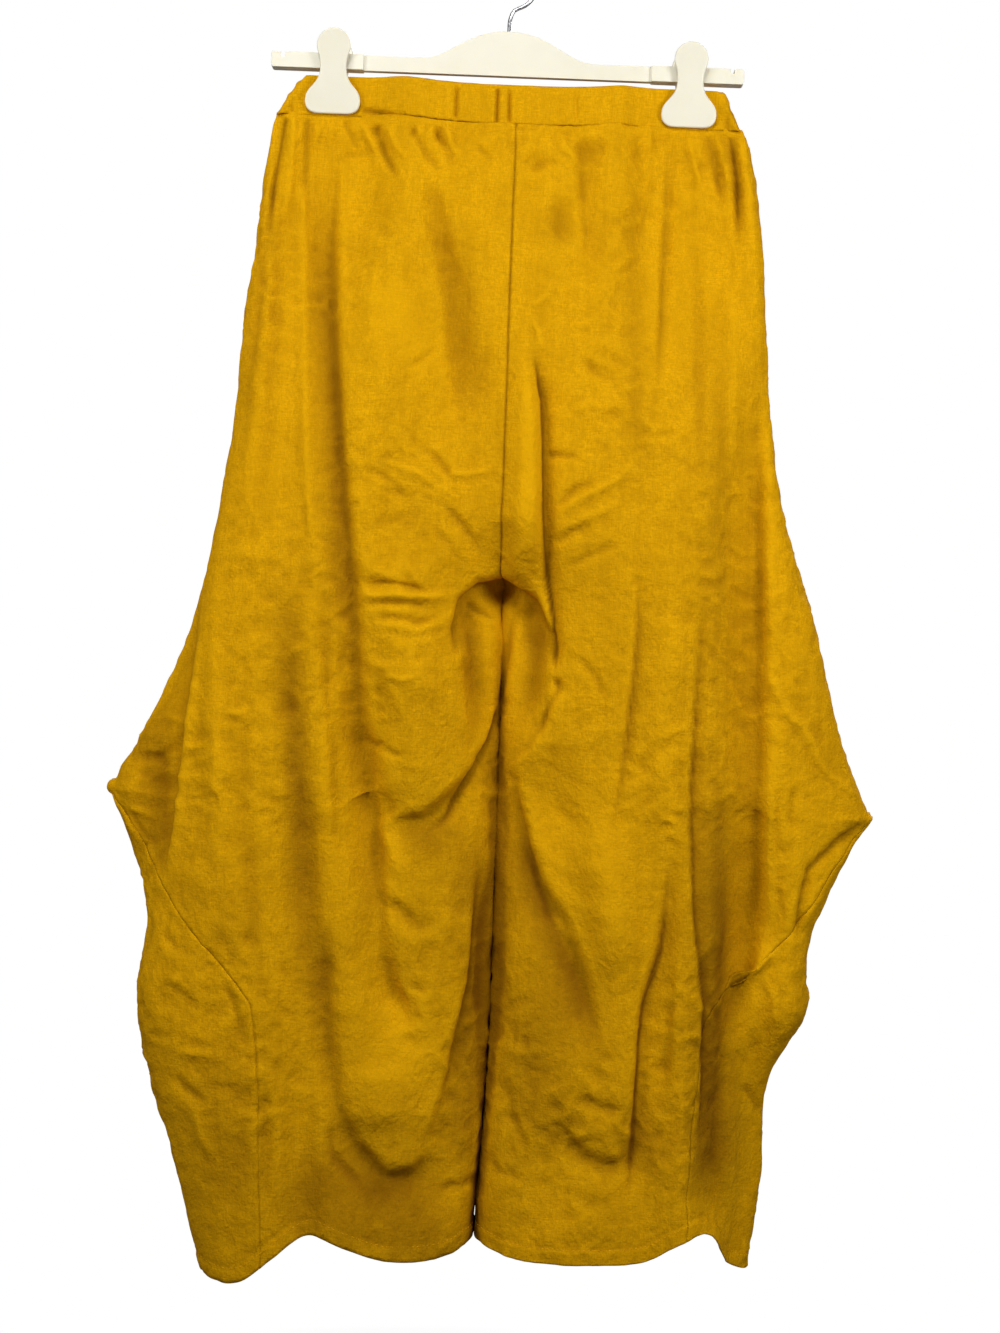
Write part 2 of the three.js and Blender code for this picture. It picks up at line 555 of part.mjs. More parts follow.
// The sleeve that slides on the bar between the two plates and is their pivot.
function clipSaddle(clipX) {
  const side = new THREE.Shape();
  const [top, foot] = [clipInside(SADDLE_TOP) - 0.4, clipInside(SADDLE_BOTTOM) - 0.4];
  side.moveTo(-foot, SADDLE_BOTTOM);
  side.lineTo(foot, SADDLE_BOTTOM);
  side.lineTo(top, SADDLE_TOP);
  side.lineTo(-top, SADDLE_TOP);
  const hole = new THREE.Path();
  const [halfDepth, under] = [RAIL_DEPTH / 2 + SEAM_GAP, BAR_TOP - BAR_HEIGHT - SEAM_GAP];
  hole.moveTo(-halfDepth, under);
  hole.lineTo(-halfDepth, BAR_TOP + SEAM_GAP);
  hole.lineTo(halfDepth, BAR_TOP + SEAM_GAP);
  hole.lineTo(halfDepth, under);
  side.holes.push(hole);
  const sleeve = new THREE.ExtrudeGeometry(side, { depth: SADDLE_WIDTH, bevelEnabled: false });
  return sleeve.rotateX(Math.PI / 2).rotateZ(Math.PI / 2).translate(clipX - SADDLE_WIDTH / 2, 0, 0);
}

// The spring that pushes the finger pads apart, as its outer shape.
function clipSpring(clipX) {
  const half = clipInside(SPRING_Z - SPRING_RADIUS) - 0.35;
  return new THREE.CylinderGeometry(SPRING_RADIUS, SPRING_RADIUS, half * 2, 16).translate(clipX, 0, SPRING_Z);
}

const COLOURS = {
  cloth: { color: 0xd39a08, roughness: 0.92, metalness: 0 },
  plastic: { color: 0xece7d2, roughness: 0.35, metalness: 0 },
  steel: { color: 0xb9bcc0, roughness: 0.25, metalness: 1 },
};

const trousers = new THREE.Group();

function add(name, geometry, finish) {
  const mesh = new THREE.Mesh(geometry, new THREE.MeshStandardMaterial(COLOURS[finish]));
  mesh.name = name;
  trousers.add(mesh);
}

for (const side of ["left", "right"]) {
  add(`front_panel_${side}`, legPanel(side, "front"), "cloth");
  add(`back_panel_${side}`, legPanel(side, "back"), "cloth");
  add(`side_panel_${side}`, sidePanel(side), "cloth");
  add(`clip_front_${side}`, clipPlate(CLIP_X[side], -1), "plastic");
  add(`clip_back_${side}`, clipPlate(CLIP_X[side], 1), "plastic");
  add(`clip_saddle_${side}`, clipSaddle(CLIP_X[side]), "plastic");
  add(`clip_spring_${side}`, clipSpring(CLIP_X[side]), "steel");
}
add("waistband_front", waistband("front"), "cloth");
add("waistband_back", waistband("back"), "cloth");
add("hanger_bar", hangerBar(), "plastic");
add("hanger_hook", hangerHook(), "steel");

export default trousers;
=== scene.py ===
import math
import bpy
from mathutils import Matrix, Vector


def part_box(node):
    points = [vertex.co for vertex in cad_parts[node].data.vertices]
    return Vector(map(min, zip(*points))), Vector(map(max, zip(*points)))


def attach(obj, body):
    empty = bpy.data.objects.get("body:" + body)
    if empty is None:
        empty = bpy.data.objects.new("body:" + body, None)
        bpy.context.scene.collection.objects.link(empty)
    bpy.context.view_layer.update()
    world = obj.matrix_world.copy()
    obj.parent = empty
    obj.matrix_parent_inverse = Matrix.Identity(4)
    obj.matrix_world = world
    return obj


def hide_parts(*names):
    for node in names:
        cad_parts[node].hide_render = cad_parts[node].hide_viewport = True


bl_info = {
    "name": "Wide-leg trousers on a clip hanger",
    "version": (1, 0, 0),
    "blender": (4, 5, 0),
    "location": "3D View > Sidebar > Trousers",
    "description": "Dresses the packed trousers and their hanger in cloth, plastic and wire",
    "category": "Object",
}

import bmesh
import bpy
import numpy as np
from mathutils import Matrix, Vector
from mathutils.bvhtree import BVHTree
from mathutils.kdtree import KDTree

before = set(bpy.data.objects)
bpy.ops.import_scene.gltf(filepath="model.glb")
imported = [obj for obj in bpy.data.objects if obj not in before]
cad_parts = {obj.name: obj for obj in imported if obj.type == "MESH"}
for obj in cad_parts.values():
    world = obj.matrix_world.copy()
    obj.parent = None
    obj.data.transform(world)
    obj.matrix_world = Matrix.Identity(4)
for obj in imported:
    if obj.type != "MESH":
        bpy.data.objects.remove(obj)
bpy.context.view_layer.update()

# Lengths in the tables below are in millimetres, and Blender works in metres.
MM = 0.001
SIDES = ("left", "right")
PANELS = [f"{part}_panel_{side}" for side in SIDES for part in ("front", "back", "side")]
BANDS = ["waistband_front", "waistband_back"]
CLIP_X = {"left": -135, "right": 142}

# Heights on the garment, and the x of its waist's middle, its centre seam and the gap between the legs.
BAND_MIDDLE = -112
WAIST_SEAM = -130
CLIP_FOOT = -142
POINT_HEIGHT = -658.5
HEM_ZONE = -900
WAIST_MIDDLE = 4
CENTRE_SEAM = 12
LEG_GAP = 13

# Spans over which something goes from none to full: first where there is none, then where it is full.
# The gathers below the waistband, by height
GATHER_FALL = (-215, -129)
# The sides of the garment, by the distance from the waist's middle
SIDES_START = (150, 174)
# The centre seam, by the distance from it and by height
CENTRE_REACH = (60, 40)
CENTRE_END = (-640, -560)
# The gap between the legs, by the distance from it, and by height at its top, its lower end and its shade
GAP_REACH = (26, 14)
GAP_TOP = (-505, -540)
GAP_END = (-800, -700)
GAP_SHADE = (-520, -570)
# Cloth that a clip leaves free, and the gathers beyond the clips, by the distance from the clip's middle
PANEL_FREE = (20, 34)
BAND_FREE = (20, 32)
BEYOND_CLIP = (16, 26)

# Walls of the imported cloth, by which the narrow faces at its edges are told from its outside.
PANEL_WALL = (1.57, 1.63)
BAND_WALL = (2.1, 3.4)
# Points this close are one point, and panel edges this close are sewn together. Longer cells are cut.
MERGE_REACH = 0.02
SEAM_REACH = 0.4
LONG_CELL = 13.5

# Layers of noise on the cloth. Each has its height, its size, its seed and how it is squeezed along z.
SWELLS = ((1.6, 46, 11, 0.35), (0.5, 30, 12, 0.5))
SIDE_GATHERS = ((1.6, 5.5, 41, 0.12), (1.2, 10, 42, 0.12))
BAND_PLEATS = ((1.3, 3.2, 61, 0.10), (0.9, 6.5, 62, 0.10))
BAND_SOFTNESS = ((0.35, 9, 63, 0.10), (0.2, 6, 64, 1))
# Layers of sharp wrinkles, each with its height, its size and its seed.
WRINKLES = ((0.5, 34, 20), (0.5, 17, 30), (0.4, 9, 35))
# Short creases under the waist seam: seed, number, leftmost and rightmost x, top and greatest length.
FRONT_SHORT = (3, 54, -165, 180, -129, 30)
BACK_SHORT = (4, 80, -185, 190, -129, 40)

# The knob at each side point: the tip, how far in from it the middle lies, and the radius.
KNOBS = (((-291, 0, -657), (7.0, 0, 0.5), 6.4), ((307, 0, -657), (-3.6, 0, 0.5), 3.2))
# How far from the plane between front and back a trough stops, and the depth that it always has.
CLEARANCE = 1.6
LEAST_ROOM = 0.4
# How much shade is painted into the hollows of the relief and highlight onto its ridges:
# the strength, and the rounds of blur that it is measured against.
CAVITY_SHADE = ((0.10, 12), (0.055, 90))
# The waist seam's depth, and how far the panels' upper edges reach up behind the waistband.
SEAM_DEPTH = 1.0
SEAM_TUCK = 2.2

# How far apart stitches start, in stitch lengths, and how far they stand off the cloth, in threads.
STITCH_PITCH = 1.5
STITCH_LIFT = 0.15
# The springs' wire, and the angles that count as flat and as an edge on the plastic.
WIRE_SIDES = 8
STEPS_PER_TURN = 18
FLAT_ANGLE = math.radians(1.5)
SHARP_ANGLE = math.radians(35)

# In metres: the floor's radius, how far out it starts to fade and has faded, and what the lights face.
FLOOR_RADIUS = 14
FLOOR_FADE = (1.34, 1.50)
LIGHT_AIM = Vector((0, 0, -0.42))

# Creases of the front, as they are seen from the camera on the plane through the hanger.
# Each row gives the height of a ridge (a trough is below 0), how far it spreads on one side and on the
# other, the shares of its length over which it fades in and out, and the points (x, z) that it runs
# through. The first spread is left of a crease that runs down and below one that runs to the right.
FRONT_CREASES = [
    # The pleat beside the centre seam, the strip that it stands out from and the swell above the crotch
    (-6.0, 2.2, 7.0, 0.15, 0.10, [(29, -300), (38, -342), (41, -386), (43, -433), (45, -481), (50, -513),
                                  (55, -557)]),
    (4.0, 9.0, 5.0, 0.3, 0.3, [(20, -300), (29, -360), (32, -430), (32, -480)]),
    (2.2, 13.0, 10.0, 0.4, 0, [(24, -405), (27, -455), (20, -488)]),
    (2.2, 3.0, 3.0, 0.3, 0.2, [(25, -277), (32, -290), (37, -306)]),
    (1.8, 2.6, 2.6, 0.3, 0.3, [(23, -272), (32, -265), (41, -259)]),
    (-3.2, 3.0, 3.4, 0.1, 0.4, [(55, -557), (58, -568), (51, -582), (42, -612)]),
    # The arch over the crotch, the hollows of the inner thighs under it and the seam between them
    (-9.0, 21.0, 3.4, 0.2, 0.2, [(-22, -548), (-24, -522), (-19, -501), (-6, -491), (14, -487), (34, -500),
                                 (48, -526), (55, -557)]),
    (2.4, 4.0, 14.0, 0.3, 0.3, [(-34, -530), (-28, -500), (-10, -480), (14, -476), (40, -494), (56, -524)]),
    (-7.0, 8.0, 8.0, 0, 0.5, [(-7, -514), (-5, -560), (3, -614)]),
    (-7.0, 8.0, 12.0, 0, 0.5, [(27, -512), (34, -560), (29, -610)]),
    (-3.0, 2.4, 2.4, 0.3, 0.3, [(-15, -500), (-2, -508), (10, -516)]),
    (-5.0, 2.0, 3.4, 0.1, 0.3, [(15, -507), (16, -547), (13, -580), (6, -610), (-6, -639), (-24, -672),
                                (-44, -688)]),
    (3.0, 3.0, 12.0, 0.2, 0.2, [(55, -560), (53, -589), (41, -615), (20, -634)]),
    (2.4, 12.0, 3.4, 0.2, 0.4, [(-23, -534), (-21, -563), (-14, -599), (-3, -621)]),
    # The bag of cloth over the left thigh and knee, and its lower edge
    (6.0, 30.0, 30.0, 0.3, 0.3, [(-62, -440), (-60, -540), (-50, -600)]),
    (-4.5, 16.0, 5.5, 0.3, 0.1, [(-94, -590), (-78, -653), (-66, -674)]),
    (-6.0, 18.0, 4.6, 0.4, 0.2, [(-84, -664), (-66, -676), (-41, -673), (-20, -654), (-2, -632),
                                 (10, -600)]),
    (2.5, 5.0, 9.0, 0.3, 0.3, [(-78, -679), (-68, -696), (-55, -724)]),
    (-4.0, 8.0, 5.0, 0.4, 0.4, [(-84, -730), (-62, -742), (-44, -756), (-22, -754)]),
    (-4.4, 8.0, 6.0, 0.4, 0.4, [(-76, -760), (-65, -801), (-51, -826), (-34, -838)]),
    (-2.0, 3.0, 2.6, 0.3, 0.3, [(-95, -611), (-84, -616), (-75, -614)]),
    # Wrinkles of the left thigh
    (2.0, 3.5, 2.6, 0.3, 0.4, [(-92, -393), (-62, -401), (-29, -420)]),
    (-2.2, 3.2, 2.6, 0.3, 0.4, [(-60, -377), (-41, -393), (-23, -416)]),
    (2.0, 2.8, 2.4, 0.3, 0.2, [(-37, -404), (-19, -402), (0, -399)]),
    (-2.4, 4.0, 3.0, 0.3, 0.4, [(-40, -424), (-22, -441), (-3, -466)]),
    (2.0, 4.0, 3.0, 0.3, 0.4, [(-46, -436), (-28, -452), (-12, -474)]),
    (-2.2, 3.6, 2.6, 0.3, 0.4, [(-102, -399), (-76, -412), (-57, -434)]),
    (-2.4, 3.2, 2.4, 0.3, 0.3, [(-99, -493), (-81, -490), (-61, -492), (-40, -500)]),
    (2.2, 3.0, 2.8, 0.2, 0.3, [(-102, -500), (-66, -500), (-26, -499)]),
    (-2.2, 3.2, 2.6, 0.3, 0.3, [(-104, -508), (-73, -505), (-38, -508)]),
    (-2.4, 3.2, 2.4, 0.2, 0.3, [(-91, -518), (-73, -516), (-54, -520), (-36, -514)]),
    (2.0, 3.0, 2.4, 0.2, 0.3, [(-86, -526), (-72, -523), (-57, -527), (-30, -519)]),
    (-1.8, 3.0, 2.6, 0.3, 0.3, [(-88, -614), (-70, -623), (-56, -624)]),
    (2.0, 3.0, 3.0, 0.3, 0.3, [(-82, -560), (-62, -566), (-44, -560)]),
    # The edge below the left clip, the dark hollow that follows it down and the folds beside it
    (2.4, 5.0, 2.6, 0.05, 0.2, [(-157, -136), (-153, -225), (-149, -318), (-145, -379), (-140, -440),
                                (-132, -500)]),
    (-8.5, 17.0, 6.0, 0.05, 0.1, [(-138, -138), (-134, -225), (-128, -318), (-119, -400), (-106, -494),
                                  (-98, -578), (-88, -648), (-79, -700), (-72, -788)]),
    (-3.2, 4.0, 7.0, 0.35, 0.35, [(-128, -460), (-126, -509), (-121, -579), (-113, -624), (-109, -684),
                                  (-106, -740)]),
    (-4.5, 12.0, 11.0, 0.35, 0.3, [(-165, -490), (-156, -563), (-147, -615), (-138, -671), (-132, -741),
                                   (-128, -800)]),
    (-2.6, 7.0, 6.0, 0.3, 0.3, [(-185, -200), (-190, -300), (-200, -420)]),
    (-2.4, 6.0, 6.0, 0.3, 0.3, [(-170, -170), (-171, -260), (-176, -380), (-184, -480)]),
    (2.6, 8.0, 6.0, 0.3, 0.3, [(-206, -440), (-210, -540), (-206, -640), (-196, -740)]),
    (-2.4, 7.0, 7.0, 0.3, 0.3, [(-188, -560), (-184, -660), (-172, -760), (-160, -840)]),
    # The fold ahead of the left point, and creases that run out to the point
    (-7.5, 18.0, 3.4, 0.35, 0.3, [(-221, -490), (-229, -540), (-235, -594), (-239, -645), (-242, -695),
                                  (-246, -745)]),
    (1.8, 2.6, 3.4, 0.35, 0.3, [(-212, -490), (-220, -540), (-227, -594), (-231, -645), (-234, -695),
                                (-237, -745)]),
    (-1.8, 9.0, 3.6, 0.2, 0.3, [(-275, -630), (-255, -632), (-242, -630)]),
    (1.6, 3.0, 3.0, 0.3, 0.3, [(-253, -598), (-239, -603), (-228, -606)]),
    (1.8, 2.6, 2.6, 0.3, 0.4, [(-277, -671), (-261, -676), (-246, -682)]),
    (-2.0, 2.6, 3.2, 0.3, 0.3, [(-279, -666), (-264, -690), (-249, -703)]),
    (1.5, 2.2, 3.0, 0.3, 0.4, [(-201, -598), (-180, -593)]),
    (1.7, 2.4, 3.0, 0.3, 0.4, [(-231, -627), (-210, -619)]),
    # The lower left: a long hollow, the tongue of cloth beside it and the curved fold of the inner leg
    (-7.5, 9.0, 12.0, 0.3, 0.3, [(-118, -750), (-118, -816), (-114, -855), (-106, -899), (-94, -937)]),
    (4.0, 20.0, 20.0, 0.3, 0.3, [(-72, -860), (-66, -920)]),
    (-7.5, 22.0, 6.0, 0.3, 0.3, [(-106, -890), (-86, -930), (-62, -955), (-37, -950), (-18, -925)]),
    (-9.0, 4.4, 22.0, 0.3, 0.4, [(4, -690), (4, -753), (2, -798), (-7, -837), (-11, -869), (-22, -908),
                                 (-40, -944)]),
    (-2.6, 5.0, 3.4, 0.3, 0.3, [(-109, -909), (-105, -937), (-85, -956), (-78, -968)]),
    (-2.4, 4.0, 3.0, 0.3, 0.3, [(-20, -960), (-1, -956), (11, -946)]),
    (2.2, 3.0, 3.0, 0.3, 0.4, [(-232, -862), (-210, -861), (-190, -866)]),
    (-2.4, 3.0, 3.0, 0.3, 0.4, [(-229, -880), (-219, -890), (-202, -902)]),
    (-2.0, 3.4, 3.0, 0.3, 0.4, [(-246, -763), (-233, -779), (-210, -787)]),
    (2.0, 3.4, 3.0, 0.3, 0.4, [(-240, -800), (-222, -812), (-206, -826)]),
    (-2.0, 3.0, 3.0, 0.3, 0.3, [(-196, -800), (-184, -826), (-178, -850)]),
    (1.8, 3.0, 3.0, 0.3, 0.4, [(-214, -900), (-204, -930), (-188, -952)]),
    (-2.4, 4.0, 5.0, 0.2, 0.3, [(-160, -890), (-156, -930), (-155, -985)]),
    # Long folds down the right leg, up to the deep one ahead of the right point
    (-3.4, 2.8, 6.0, 0.35, 0.35, [(118, -450), (119, -521), (117, -565), (111, -631), (101, -699)]),
    (-3.6, 2.8, 8.0, 0.35, 0.2, [(170, -460), (167, -575), (166, -647), (170, -709), (177, -765),
                                 (185, -813), (187, -880), (187, -943)]),
    (-10.5, 24.0, 5.0, 0.3, 0.05, [(206, -250), (210, -431), (214, -526), (218, -621), (220, -716),
                                   (214, -780), (206, -840), (202, -900), (201, -994)]),
    (-6.0, 3.2, 14.0, 0.35, 0.2, [(152, -680), (145, -769), (137, -806), (134, -843), (133, -887),
                                  (130, -931), (128, -970)]),
    (-2.6, 5.0, 5.0, 0.3, 0.3, [(156, -787), (154, -831), (149, -886)]),
    (2.4, 9.0, 9.0, 0.3, 0.3, [(144, -470), (142, -580), (138, -680)]),
    # The bright swell of the right shin, and the hollows round it
    (4.0, 20.0, 20.0, 0.3, 0.3, [(84, -660), (104, -740), (116, -800)]),
    (-8.5, 22.0, 5.0, 0.25, 0.3, [(18, -620), (37, -692), (49, -721), (71, -753), (85, -789), (94, -822),
                                  (98, -855)]),
    (-2.8, 7.0, 3.6, 0.4, 0.4, [(86, -880), (104, -893), (126, -895)]),
    (-4.8, 11.0, 5.0, 0.35, 0.35, [(66, -900), (90, -930), (110, -938), (124, -934), (134, -912)]),
    (2.2, 3.0, 4.0, 0.3, 0.3, [(59, -743), (73, -757), (82, -769)]),
    (-2.0, 5.0, 3.0, 0.4, 0.4, [(11, -924), (27, -945), (52, -950)]),
    (-2.2, 5.0, 5.0, 0.3, 0.3, [(26, -860), (34, -900), (48, -930)]),
    # Creases round the right point and down the flap below it
    (2.4, 4.0, 4.0, 0.2, 0.3, [(216, -540), (234, -573), (259, -605), (274, -619)]),
    (2.0, 2.6, 4.0, 0.2, 0.3, [(257, -605), (269, -624), (296, -644)]),
    (-2.4, 3.0, 5.0, 0.3, 0.3, [(246, -629), (243, -660), (252, -677)]),
    (-2.2, 3.0, 4.0, 0.3, 0.3, [(236, -625), (233, -668), (230, -716)]),
    (-4.0, 3.0, 5.0, 0.2, 0.2, [(304, -660), (281, -678), (260, -700), (254, -729), (252, -762)]),
    (-1.8, 3.0, 3.0, 0.3, 0.3, [(239, -687), (235, -716), (241, -744)]),
    (-2.4, 3.0, 3.0, 0.3, 0.3, [(215, -869), (226, -887), (230, -897)]),
    (2.0, 4.0, 3.0, 0.3, 0.3, [(222, -780), (236, -800), (240, -830)]),
    # Creases that fan out from the pleat over the right thigh
    (2.2, 3.6, 2.6, 0.3, 0.4, [(46, -433), (66, -420), (98, -402), (119, -377)]),
    (-2.4, 3.0, 2.4, 0.2, 0.4, [(50, -427), (66, -410), (83, -402)]),
    (2.0, 3.4, 2.6, 0.3, 0.4, [(52, -446), (70, -434), (88, -426), (106, -416)]),
    (-2.2, 3.4, 2.6, 0.2, 0.4, [(49, -455), (66, -443), (84, -438)]),
    (-2.6, 3.0, 2.2, 0.1, 0.5, [(43, -384), (55, -385), (70, -386)]),
    (-1.6, 3.0, 3.0, 0.4, 0.4, [(60, -302), (76, -317), (84, -323), (106, -326)]),
    (-2.0, 3.6, 3.0, 0.3, 0.4, [(54, -476), (80, -462), (110, -446)]),
    (1.8, 3.0, 3.0, 0.3, 0.4, [(60, -350), (76, -344), (90, -350)]),
    (-1.8, 3.0, 3.0, 0.3, 0.4, [(70, -540), (86, -556), (98, -580)]),
    # The upper left, under the waist seam
    (-4.4, 4.0, 2.8, 0.02, 0.4, [(-172, -130), (-175, -150), (-178, -182), (-181, -230)]),
    (3.0, 4.0, 4.0, 0.02, 0.4, [(-164, -130), (-166, -170), (-168, -220)]),
    (-3.6, 3.0, 4.0, 0.02, 0.4, [(-154, -130), (-154, -160), (-155, -196)]),
    (-3.2, 2.6, 3.2, 0.05, 0.4, [(-102, -133), (-94, -157), (-81, -178)]),
    (-2.6, 2.2, 2.6, 0.05, 0.5, [(-126, -131), (-118, -146), (-112, -156)]),
    (2.2, 2.4, 2.4, 0.05, 0.5, [(-114, -131), (-105, -146), (-98, -160)]),
    (2.2, 2.6, 2.6, 0.05, 0.4, [(-92, -134), (-84, -150), (-73, -162)]),
    (-2.4, 2.6, 2.6, 0.05, 0.4, [(-73, -134), (-60, -154), (-46, -172)]),
    (-2.2, 2.4, 2.8, 0.05, 0.4, [(-54, -134), (-46, -148), (-38, -166)]),
    (2.0, 2.6, 2.4, 0.1, 0.4, [(-48, -134), (-40, -146), (-32, -160)]),
    (-2.0, 2.6, 2.6, 0.2, 0.4, [(-22, -146), (-7, -159)]),
    (-1.7, 3.0, 2.6, 0.3, 0.4, [(-140, -166), (-122, -158), (-98, -154)]),
    (-4.6, 9.0, 7.0, 0.3, 0.4, [(-57, -168), (-49, -212), (-40, -248)]),
    (-7.0, 6.0, 22.0, 0.35, 0.35, [(-53, -200), (-38, -267), (-30, -323), (-22, -380)]),
    (-1.6, 2.6, 3.0, 0.4, 0.4, [(-72, -324), (-55, -313), (-40, -302)]),
    (2.2, 12.0, 8.0, 0.3, 0.3, [(-104, -200), (-98, -280), (-84, -360)]),
    # The upper right, and the gathers that fall from the band beyond the clip
    (-6.0, 5.0, 20.0, 0.1, 0.5, [(60, -134), (63, -170), (68, -211), (72, -262)]),
    (-4.0, 10.0, 9.0, 0.4, 0.4, [(44, -176), (47, -204), (50, -226)]),
    (-3.0, 3.0, 6.0, 0.1, 0.4, [(127, -136), (128, -214), (128, -284), (126, -350)]),
    (1.9, 2.8, 3.0, 0.3, 0.4, [(12, -157), (25, -148), (38, -142)]),
    (1.9, 2.8, 3.0, 0.3, 0.4, [(37, -142), (49, -147), (61, -158)]),
    (-1.9, 2.8, 2.6, 0.3, 0.4, [(18, -165), (34, -156), (52, -162)]),
    (2.8, 3.0, 2.4, 0.05, 0.4, [(142, -134), (150, -160), (158, -180)]),
    (-3.4, 3.0, 2.6, 0.05, 0.4, [(158, -131), (164, -156), (172, -190)]),
    (2.6, 3.0, 4.0, 0.05, 0.4, [(165, -131), (171, -151), (180, -180)]),
    (-4.4, 2.6, 4.0, 0.02, 0.4, [(176, -131), (181, -165), (184, -220)]),
    (2.4, 4.0, 4.0, 0.05, 0.4, [(182, -131), (191, -174), (198, -232)]),
    (-2.4, 5.0, 5.0, 0.3, 0.3, [(150, -200), (157, -280), (162, -400)]),
    (2.0, 6.0, 6.0, 0.3, 0.3, [(178, -220), (186, -320), (190, -420)]),
]

# Broad shade painted into the cloth's colour in the wide hollows of the front, in rows like those above: the
# first number is its depth, and below 0 it is light painted on a swell that catches the light.
FRONT_SHADE = [
    # The band of shade down the left leg, and the deep shade along its hem
    (0.44, 15.0, 15.0, 0.3, 0.3, [(-155, -439), (-148, -573), (-138, -706), (-122, -825), (-93, -918)]),
    (0.62, 44.0, 36.0, 0.3, 0.3, [(-149, -940), (-91, -968), (-37, -979), (2, -961)]),
    (0.27, 26.0, 26.0, 0.3, 0.3, [(-197, -828), (-187, -908), (-163, -1001)]),
    # Under the bag of cloth and down the inner left leg
    (0.54, 18.0, 8.0, 0.2, 0.2, [(-6, -667), (5, -767), (5, -874), (-4, -968)]),
    (0.44, 16.0, 16.0, 0.4, 0.4, [(-72, -683), (-35, -692), (-3, -660)]),
    # Beside and under the bright shin of the right leg
    (0.61, 24.0, 5.0, 0.2, 0.3, [(27, -666), (53, -738), (86, -807), (113, -869)]),
    (0.34, 26.0, 26.0, 0.3, 0.3, [(35, -779), (52, -872), (69, -951)]),
    (0.41, 20.0, 20.0, 0.4, 0.4, [(106, -896), (147, -922), (175, -934)]),
    # The deep fold ahead of the right point, and the flap behind the left one
    (0.80, 24.0, 10.0, 0.5, 0.1, [(167, -533), (185, -626), (197, -759), (200, -866), (201, -966)]),
    (0.51, 24.0, 5.0, 0.3, 0.3, [(-246, -570), (-252, -623), (-248, -683), (-244, -737)]),
    # The hollows of the inner thighs
    (0.36, 14.0, 14.0, 0.2, 0.7, [(-12, -516), (-16, -548), (-9, -592)]),
    (0.36, 15.0, 9.0, 0.2, 0.7, [(29, -510), (44, -546), (40, -597)]),
    # Swells that catch the light
    (-0.28, 34.0, 34.0, 0.3, 0.3, [(-65, -790), (-48, -862), (-60, -903)]),
    (-0.25, 30.0, 30.0, 0.3, 0.3, [(69, -617), (92, -710), (109, -783)]),
    (-0.5, 10.0, 10.0, 0.3, 0.2, [(27, -321), (30, -386), (31, -452), (9, -464)]),
    (-0.22, 26.0, 20.0, 0.3, 0.3, [(255, -610), (265, -690), (230, -811)]),
    # Down from the left clip, and down the long fold of the right leg
    (0.45, 15.0, 11.0, 0.3, 0.3, [(-145, -161), (-138, -261), (-123, -378), (-113, -496), (-100, -589)]),
    (0.24, 22.0, 12.0, 0.3, 0.3, [(164, -228), (172, -337), (183, -482), (188, -650)]),
    # Under the waist seam and beside the centre seam
    (0.24, 18.0, 13.0, 0.3, 0.3, [(-49, -169), (-31, -257), (-10, -344), (-2, -385)]),
    (0.22, 17.0, 17.0, 0.4, 0.4, [(40, -183), (51, -230)]),
    (0.24, 8.0, 8.0, 0.3, 0.3, [(100, -128), (104, -251), (118, -428)]),
    (0.32, 9.0, 9.0, 0.3, 0.3, [(166, -125), (182, -189)]),
    (0.25, 16.0, 16.0, 0.3, 0.3, [(-179, -156), (-184, -263), (-191, -381)]),
    (-0.3, 16.0, 16.0, 0.3, 0.3, [(-95, -241), (-71, -299), (-51, -334)]),
]

